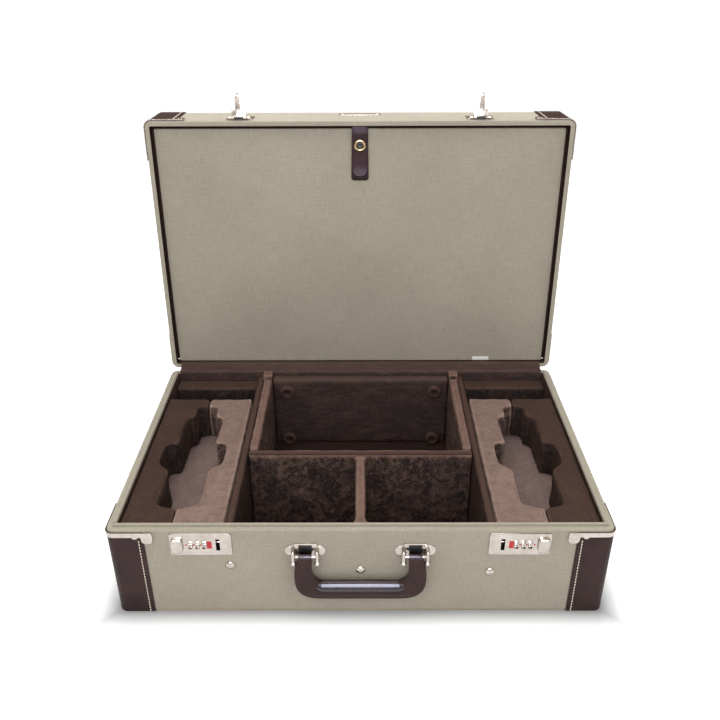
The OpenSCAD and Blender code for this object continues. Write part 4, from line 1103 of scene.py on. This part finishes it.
# %% Wall and floor velvet
wall_lining = sleeve("wall_lining", (-289, -180, 6.9), (289, 180, BASE_TOP), 1.0)
cut_for_locks(wall_lining)
soften(wall_lining, 0.3)
present(wall_lining, "base", velvet_dark, "velvet_dark", "wall_velvet")
floor_lining = velvet_board("floor_lining", (-287.6, -WALL_Y, 6.8), (287.6, WALL_Y, 8.0), 9.0, 0.3)
present(floor_lining, "base", velvet_deep, "velvet_dark", "floor_velvet", smooth=60)

# %% [markdown]
# ## Foot cups
# Four padded cups on the rear wall take the feet of the power supply. A cup is round, so its
# profile is drawn once and spun about its own axis.

# %% Spin a profile
def spun(name, centre, axis, profile, steps=32):
    """A profile of (radius, height) points turned once about an axis through centre."""
    n = Vector(axis)
    side = Vector((1, 0, 0)) if abs(n.x) < 0.5 else Vector((0, 1, 0))
    bpy.ops.object.select_all(action="DESELECT")
    bpy.ops.mesh.primitive_plane_add(size=MM)
    piece = bpy.context.object
    piece.name = piece.data.name = name
    bpy.context.tool_settings.mesh_select_mode = (True, False, False)
    edit(piece)
    bpy.ops.mesh.delete(type="ONLY_FACE")
    bpy.ops.mesh.select_all(action="SELECT")
    bpy.ops.mesh.merge(type="CENTER")
    mesh = bmesh.from_edit_mesh(piece.data)
    mesh.verts.ensure_lookup_table()
    points = [(Vector(centre) + side * r + n * h) * MM for r, h in profile]
    mesh.verts[0].co = points[0]
    mesh.verts[0].select_set(True)
    bmesh.update_edit_mesh(piece.data)
    for here, there in zip(points, points[1:]):
        bpy.ops.mesh.extrude_region_move(TRANSFORM_OT_translate={"value": there - here})
    bpy.ops.mesh.select_all(action="SELECT")
    bpy.ops.mesh.spin(steps=steps, angle=math.tau, center=Vector(centre) * MM, axis=n)
    bpy.ops.mesh.select_all(action="SELECT")
    bpy.ops.mesh.remove_doubles(threshold=0.00001)
    bpy.ops.mesh.normals_make_consistent(inside=False)
    done()
    return piece


CUP_PROFILE = [(0.01, 3.1), (3.4, 3.3), (4.8, 4.4), (5.4, 6.1), (7.2, 7.3), (9.2, 6.6), (10.3, 4.8),
               (10.6, 2.2), (10.5, -1)]
cup = spun("foot_cup", (-116, 163, 19.2), (0, -1, 0), CUP_PROFILE)
steps = ((0, 0), (0, 88), (232, 0), (232, 88))
cups = [another(cup, f"foot_cup_{i}", Matrix.Translation((dx * MM, 0, dz * MM)))
        for i, (dx, dz) in enumerate(steps)]
bpy.data.objects.remove(cup)
for piece in cups:
    present(piece, "base", velvet_dark, "velvet_dark", "foot_cups", smooth=70)

# %% [markdown]
# ## The velvet over the hinge
# A velvet strip is glued to the base's rear wall, goes over the lip and across the hinge, and
# is glued to the lid's hinge wall. It bends when the lid shuts; here it is one sheet, shaped
# for the open lid and tied to no body. It is drawn as a line through its section, pulled across.

# %% Hinge strip
SECTION = [(178.5, 118.5), (178.5, 125.5), (178.6, 131.6), (179.4, 133.6), (181.4, 134.6), (184.2, 134.7),
           (187.4, 134.9), (190.6, 136.3), (193.4, 138.7), (195.6, 140.1), (198.2, 140.3), (201.2, 140.1)]
bpy.ops.object.select_all(action="DESELECT")
bpy.ops.mesh.primitive_grid_add(x_subdivisions=140, y_subdivisions=len(SECTION) - 1, size=1)
strip = bpy.context.object
strip.name = strip.data.name = "hinge_strip"
for vertex in strip.data.vertices:
    k = round((vertex.co.y + 0.5) * (len(SECTION) - 1))
    y, z = SECTION[k]
    x = vertex.co.x * 572
    ripple = 0.25 * math.sin(x * 0.11) + 0.2 * math.sin(x * 0.37 + k)
    vertex.co = Vector((x, y, z + (ripple if 3 < k < 9 else 0))) * MM
modify(strip, "SOLIDIFY", thickness=0.8 * MM, offset=0)
modify(strip, "SUBSURF", levels=1)
present(strip, "base", velvet_brushed, "velvet_dark", "hinge_velvet", smooth=70)
strip.parent = None
del strip["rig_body"]
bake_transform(strip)

# %% [markdown]
# ## The pocket panel
# A thin board under linen shuts the lid's pocket. Its edges are rolled, and two pins at the
# lower end let it swing out. A small blank tag sits on its lower right.

# %% Panel, pins and tag
panel = block("panel_linen", (-289.7, -179.6, 138.5), (289.7, 182.9, 143.4))
edit(panel)
roll_edges(panel, 2.0, 4)
done()
soften(panel, 1.3, 3)
map_cloth(panel)
present(panel, "pocket_panel", linen, "linen", "pocket_panel", opened=True)
for side, name in SIDES:
    pin = soften(cylinder(f"panel_pin_{name}", (side * 292.6, 180.3, 140.9), 1.2, 8, "X", 20), 0.3)
    present(pin, "pocket_panel", steel, "steel", "pocket_panel", opened=True)
tag = soften(block("panel_tag", (179.0, 176.0, 137.9), (205.0, 182.2, 138.6)), 0.25)
present(tag, "pocket_panel", tag_white, "linen", "pocket_panel", opened=True)

# %% [markdown]
# ## The strap and its snap
# A leather strap is fixed above the panel and hangs over it. It is cut with a round end, and
# its edges are rounded. It bulges a little near its root and over the snap. The snap's cap is
# a brass ring round a dark centre. A wider patch behind it, with flared sides and a middle
# that stands up a little, keeps the snap's stud on the panel. The strap is drawn flat in the
# shut lid, where it faces down.

# %% Strap and patch
BAND_ROOT, BAND_END, BAND_Z = -183.6, -113.9, 134.4
SNAP = (0, -156.9, BAND_Z)
outline = rounded([(-11, BAND_ROOT, 0), (-11, BAND_END, 10.8), (11, BAND_END, 10.8), (11, BAND_ROOT, 0)], 9)
band = plate("strap_band", outline, 2.4, (0, 0, 1), (0, 0, BAND_Z))
edit(band)
slice_up(band, 1, range(-180, -114, 4))
done()
soften(band, 0.7, 3, 50)
for vertex in band.data.vertices:
    down = (vertex.co.y / MM - BAND_ROOT) / 70
    at_root = 2.0 * math.exp(-((down - 0.16) / 0.09) ** 2)
    over_snap = 3.9 * max(0, (down - 0.72) / 0.28) ** 2
    vertex.co.z -= (at_root + over_snap) * MM
present(band, "strap", strap_leather, "leather", "strap", opened=True)
band.parent = None
del band["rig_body"]
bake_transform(band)
outline = rounded([(-11.4, -181.5, 0), (-12.5, -106.9, 5), (12.5, -106.9, 5), (11.4, -181.5, 0)], 6)
backing = plate("strap_backing", outline, 1.3, (0, 0, 1), (0, 0, 137.1))
edit(backing)
pick(backing, "faces", lambda f: f.normal.z < -0.9)
bpy.ops.mesh.inset(thickness=1.4 * MM, use_even_offset=True)
bpy.ops.mesh.inset(thickness=0.5 * MM, depth=0.2 * MM, use_even_offset=True)
done()
soften(backing, 0.35)
present(backing, "pocket_panel", patch_leather, "leather", "strap_patch", opened=True)

# %% [markdown]
# The snap's ring and its centre are two profiles, spun about one axis.

# %% Snap
RING = [(8.4, -0.2), (8.5, 0.9), (8.1, 1.7), (7.0, 2.3), (5.8, 2.2), (5.0, 1.6), (4.6, 0.7), (4.5, -0.2)]
CENTRE = [(4.8, 0.3), (4.0, 0.9), (3.0, 1.1), (2.2, 0.7), (0.01, 0.5)]
for name, profile, finish in (("snap_ring", RING, brass), ("snap_centre", CENTRE, dark_mark)):
    piece = spun(name, SNAP, (0, 0, -1), profile, 40)
    present(piece, "strap", finish, "nickel", "strap", opened=True, smooth=60)

# %% [markdown]
# ## Locks
# Each lock has a bright plate with a turned-down edge and a pin at each corner, a window for
# three dials, a slot for the hasp's hook and a slider. Openings are cut for the dials, and red
# marks show where to read them. The slider's knob is a block whose face is domed in two
# steps. All is modelled on the left lock and mirrored.

# %% Lock plate
IN_FRONT = -196
outline = rounded([(-37, -16.5, 3.2), (37, -16.5, 3.2), (37, 16.5, 3.2), (-37, 16.5, 3.2)])
face = plate("lock_plate_left", outline, 2.0, (0, -1, 0), (-LOCK_X, -CASE_Y, LOCK_Z))
edit(face)
roll_edges(face, 1.5, 2, lambda e: abs(middle(e).y + 193) < 0.01)
done()
cut(face, block("tool", (-171, IN_FRONT, 101), (-166.2, -189, 118)))
for x in (12.2, 4, -4.2):
    low, high = (-LOCK_X - x - 2.6, IN_FRONT, 102.9), (-LOCK_X - x + 2.6, -189, 116.1)
    cut(face, block("tool", low, high))
pins = [cylinder("lock_pin", (-LOCK_X + x, -193.2, LOCK_Z + z), 1.3, 1.3, "Y", 16)
        for x in (-33.4, 33.4) for z in (-13, 13)]
face = join("lock_plate_left", face, *(soften(pin, 0.45, 3) for pin in pins))
for piece in (face, twin(face)):
    present(piece, "base", nickel, "nickel", "lock_plates")

# %% Red marks
marks = [block("mark", (-181.6, -193.08, 104.0), (-175.8, -192.4, 115.0))]
for x in (-206.2, -197.1, -188.9):
    diamond = [(x - 1.5, LOCK_Z), (x, 108.0), (x + 1.5, LOCK_Z), (x, 111.0)]
    marks.append(plate("mark", diamond, 0.5, (0, -1, 0), (0, -192.58, 0)))
marks = join("lock_marks_left", *marks)
for piece in (marks, twin(marks)):
    present(piece, "base", red, "red_index", "index_plates")

# %% [markdown]
# A slider's knob is a block with round corners. Its face steps out twice, so the thumb finds it.

# %% Slider knobs
knob = block("slider_knob_left", (-223.9, -196.4, 99.1), (-210.1, -193.15, 119.9))
edit(knob)
roll_edges(knob, 3.6, 6, lambda e: along(e, "y"))
pick(knob, "faces", lambda f: f.normal.y < -0.9)
bpy.ops.mesh.inset(thickness=1.5 * MM, depth=1.1 * MM, use_even_offset=True)
bpy.ops.mesh.inset(thickness=1.2 * MM, depth=0.2 * MM, use_even_offset=True)
done()
soften(knob, 0.3, 2, 20)
for piece, side in ((knob, "left"), (twin(knob), "right")):
    present(piece, f"slider_{side}", nickel, "nickel")

# %% [markdown]
# ## Combination dials
# A dial is a small wheel with ten flutes for the finger and the numbers 0 to 9 between them.
# The flutes are cut with ten thin rods at once. The numbers are text, turned into mesh, and
# stood round the rim.

# %% Dial
STEP = 36
wheel = cylinder("dial", (0, 0, 0), 7, 4.4, "X", 60)
rods = [cylinder("tool", (0, 7.4 * math.cos(a), 7.4 * math.sin(a)), 0.9, 8, "X", 12)
        for a in (math.radians(STEP * i + STEP / 2) for i in range(10))]
cut(wheel, join("tool", *rods))
soften(wheel, 0.25, 2, 50)
figures = []
for number in range(10):
    bpy.ops.object.select_all(action="DESELECT")
    bpy.ops.object.text_add(location=(0, 0, 0))
    figure = bpy.context.object
    text = figure.data
    text.body, text.size, text.extrude = str(number), 3.6 * MM, 0.04 * MM
    text.align_x, text.align_y, text.resolution_u = "CENTER", "CENTER", 3
    bpy.ops.object.convert(target="MESH")
    upright = Matrix.Translation((0, -7.02 * MM, 0)) @ Matrix.Rotation(math.pi / 2, 4, "X")
    figure.data.transform(Matrix.Rotation(math.radians(STEP * number), 4, "X") @ upright)
    figures.append(figure)
figures = join("dial_figures", *figures)
for side, side_name in SIDES:
    for out, dial_name in ((201.2, "outer"), (193.0, "middle"), (184.8, "inner")):
        spot = Matrix.Translation((side * out * MM, -0.1872, LOCK_Z * MM))
        which = f"{side_name}_{dial_name}"
        body = f"dial_{which}"
        present(another(wheel, f"wheel_{which}", spot), body, nickel, "nickel", body)
        present(another(figures, f"figures_{which}", spot), body, dark_mark, "nickel")
bpy.data.objects.remove(wheel)
bpy.data.objects.remove(figures)

# %% [markdown]
# ## The handle
# Leather is sewn over a steel bow: two flat legs that curve into a flat grip, and a round
# padded roll along the grip for the fingers. The flat part is a plate cut to the handle's
# outline, with a raised bead along its edge where it is sewn. The roll is a flattened ball,
# pulled apart in the middle, so that it keeps round ends, and turned towards the light.

# %% Handle leather
EYE_Z = 97
side = [(58.5, -40, 21), (57.5, 0, 0), (73.5, 0, 0), (79, -20, 8), (79, -64, 30)]
outline = rounded(side + [(-x, z, r) for x, z, r in reversed(side)], 8)
bow = plate("handle_bow", outline, 7.0, (0, -1, 0), (0, -196.5, EYE_Z))
edit(bow)
for sign in (-1, 1):
    pick(bow, "faces", lambda f: f.normal.y * sign > 0.9)
    for width, height in ((4.0, 0), (0.5, 0.5), (0.5, 0), (0.5, -0.5)):
        bpy.ops.mesh.inset(thickness=width * MM, depth=height * MM, use_even_offset=True)
done()
soften(bow, 1.0, 3, 40)
for finish in (leather, roll_leather):
    bow.data.materials.append(finish)
for face in bow.data.polygons:
    inside = abs(face.center.x) < 0.0605 and face.center.z > 0.0545
    face.material_index = int(abs(face.normal.y) < 0.8 and inside)
present(bow, "handle", None, "leather", "handle_leather", smooth=50)
for side, name in SIDES:
    eye = cylinder(f"handle_eye_{name}", (side * MOUNT_X, -200, EYE_Z), 3.55, 15.8, "X", 28)
    present(soften(eye, 0.7, 3), "handle", roll_leather, "leather", "handle_leather")

# %% [markdown]
# The roll is pressed flat, drawn out along the grip and turned a little towards the light.

# %% Grip roll
GRIP = (0, -0.2026, 0.0538)
bpy.ops.object.select_all(action="DESELECT")
bpy.ops.mesh.primitive_uv_sphere_add(segments=40, ring_count=24, radius=MM, location=GRIP,
                                     rotation=(0, math.pi / 2, 0))
roll = bpy.context.object
roll.name = roll.data.name = "handle_roll"
bpy.ops.object.transform_apply(location=True, rotation=True, scale=True)
edit(roll)
bpy.ops.transform.resize(value=(10, 4.3, 7.1), center_override=GRIP)
for side in (-1, 1):
    pick(roll, "verts", lambda v: v.co.x * side > 0.0001)
    bpy.ops.transform.translate(value=(side * 44 * MM, 0, 0))
done()
there = Matrix.Translation(GRIP)
roll.data.transform(there @ Matrix.Rotation(math.radians(-41), 4, "X") @ there.inverted())
present(roll, "handle", roll_leather, "leather", "handle_leather", smooth=60)

# %% [markdown]
# Each mount spreads on the linen in a flat wing with round ends. Behind each leg it is open,
# so that the leather can turn. A dark inset is painted shadow for the shade in that opening.

# %% Mount wings and the shade of their openings
WING = rounded([(-24, -7.4, 7), (24, -7.4, 7), (24, 7.4, 7), (-24, 7.4, 7)], 7)
for side, name in SIDES:
    wings = plate(f"mount_wings_{name}", WING, 1.5, (0, -1, 0), (side * MOUNT_X, -CASE_Y, 100))
    present(soften(wings, 0.45, 3, 50), "base", nickel, "nickel")
for side, name in SIDES:
    # Painted shadow: a dark inset where the opening behind each leg is in shade.
    low, high = (side * MOUNT_X - 8, -192.95, 98.6), (side * MOUNT_X + 8, -192.4, 108.6)
    present(soften(block(f"mount_opening_{name}", low, high), 0.2), "base", dark_mark, "nickel")

# %% [markdown]
# ## Turned and stamped hardware
# The mounts, pins, plates, hasps and screws have the right shape in CAD, but their edges are
# razor sharp. A merged copy of each gets small rounded edges, which catch the light.

# %% Soft-edged copies
for node, body, width in (
    ("handle_mounts", "base", 0.4), ("handle_pins", "handle", 0.3), ("divider_screws", "base", 0.2),
    ("lid_plate", "lid", 0.3), ("hasp_plates", "lid", 0.3), ("hasp_left", "hasp_left", 0.3),
    ("hasp_right", "hasp_right", 0.3),
):
    present(soften(like(node, node + "_bright"), width, 2, 40), body, nickel, "nickel", node)

# %% [markdown]
# The three screws' heads are a little wider than their CAD shape, each about its own middle.
# A dark strip at the front of each hasp's knuckle is painted shade in its slot.

# %% Screw heads and shade in the hasp slots
SCREWS = ((-156.8, 76), (0, 68), (156.8, 65))
WIDER = 1.2
for vertex in bpy.data.objects["divider_screws_bright"].data.vertices:
    x, y, z = vertex.co / MM
    if y < -CASE_Y - 0.05:
        head_x, head_z = min(SCREWS, key=lambda spot: abs(spot[0] - x))
        vertex.co = Vector((head_x + WIDER * (x - head_x), y, head_z + WIDER * (z - head_z))) * MM
for side, name in SIDES:
    # Painted shade: a dark strip in the front of each hasp's knuckle.
    low, high = (side * 168.6 - 6.5, -195.7, 136.0), (side * 168.6 + 6.5, -192.9, 136.6)
    slot = soften(block(f"hasp_slot_{name}", low, high), 0.15)
    present(slot, f"hasp_{name}", dark_mark, "nickel", opened=True)
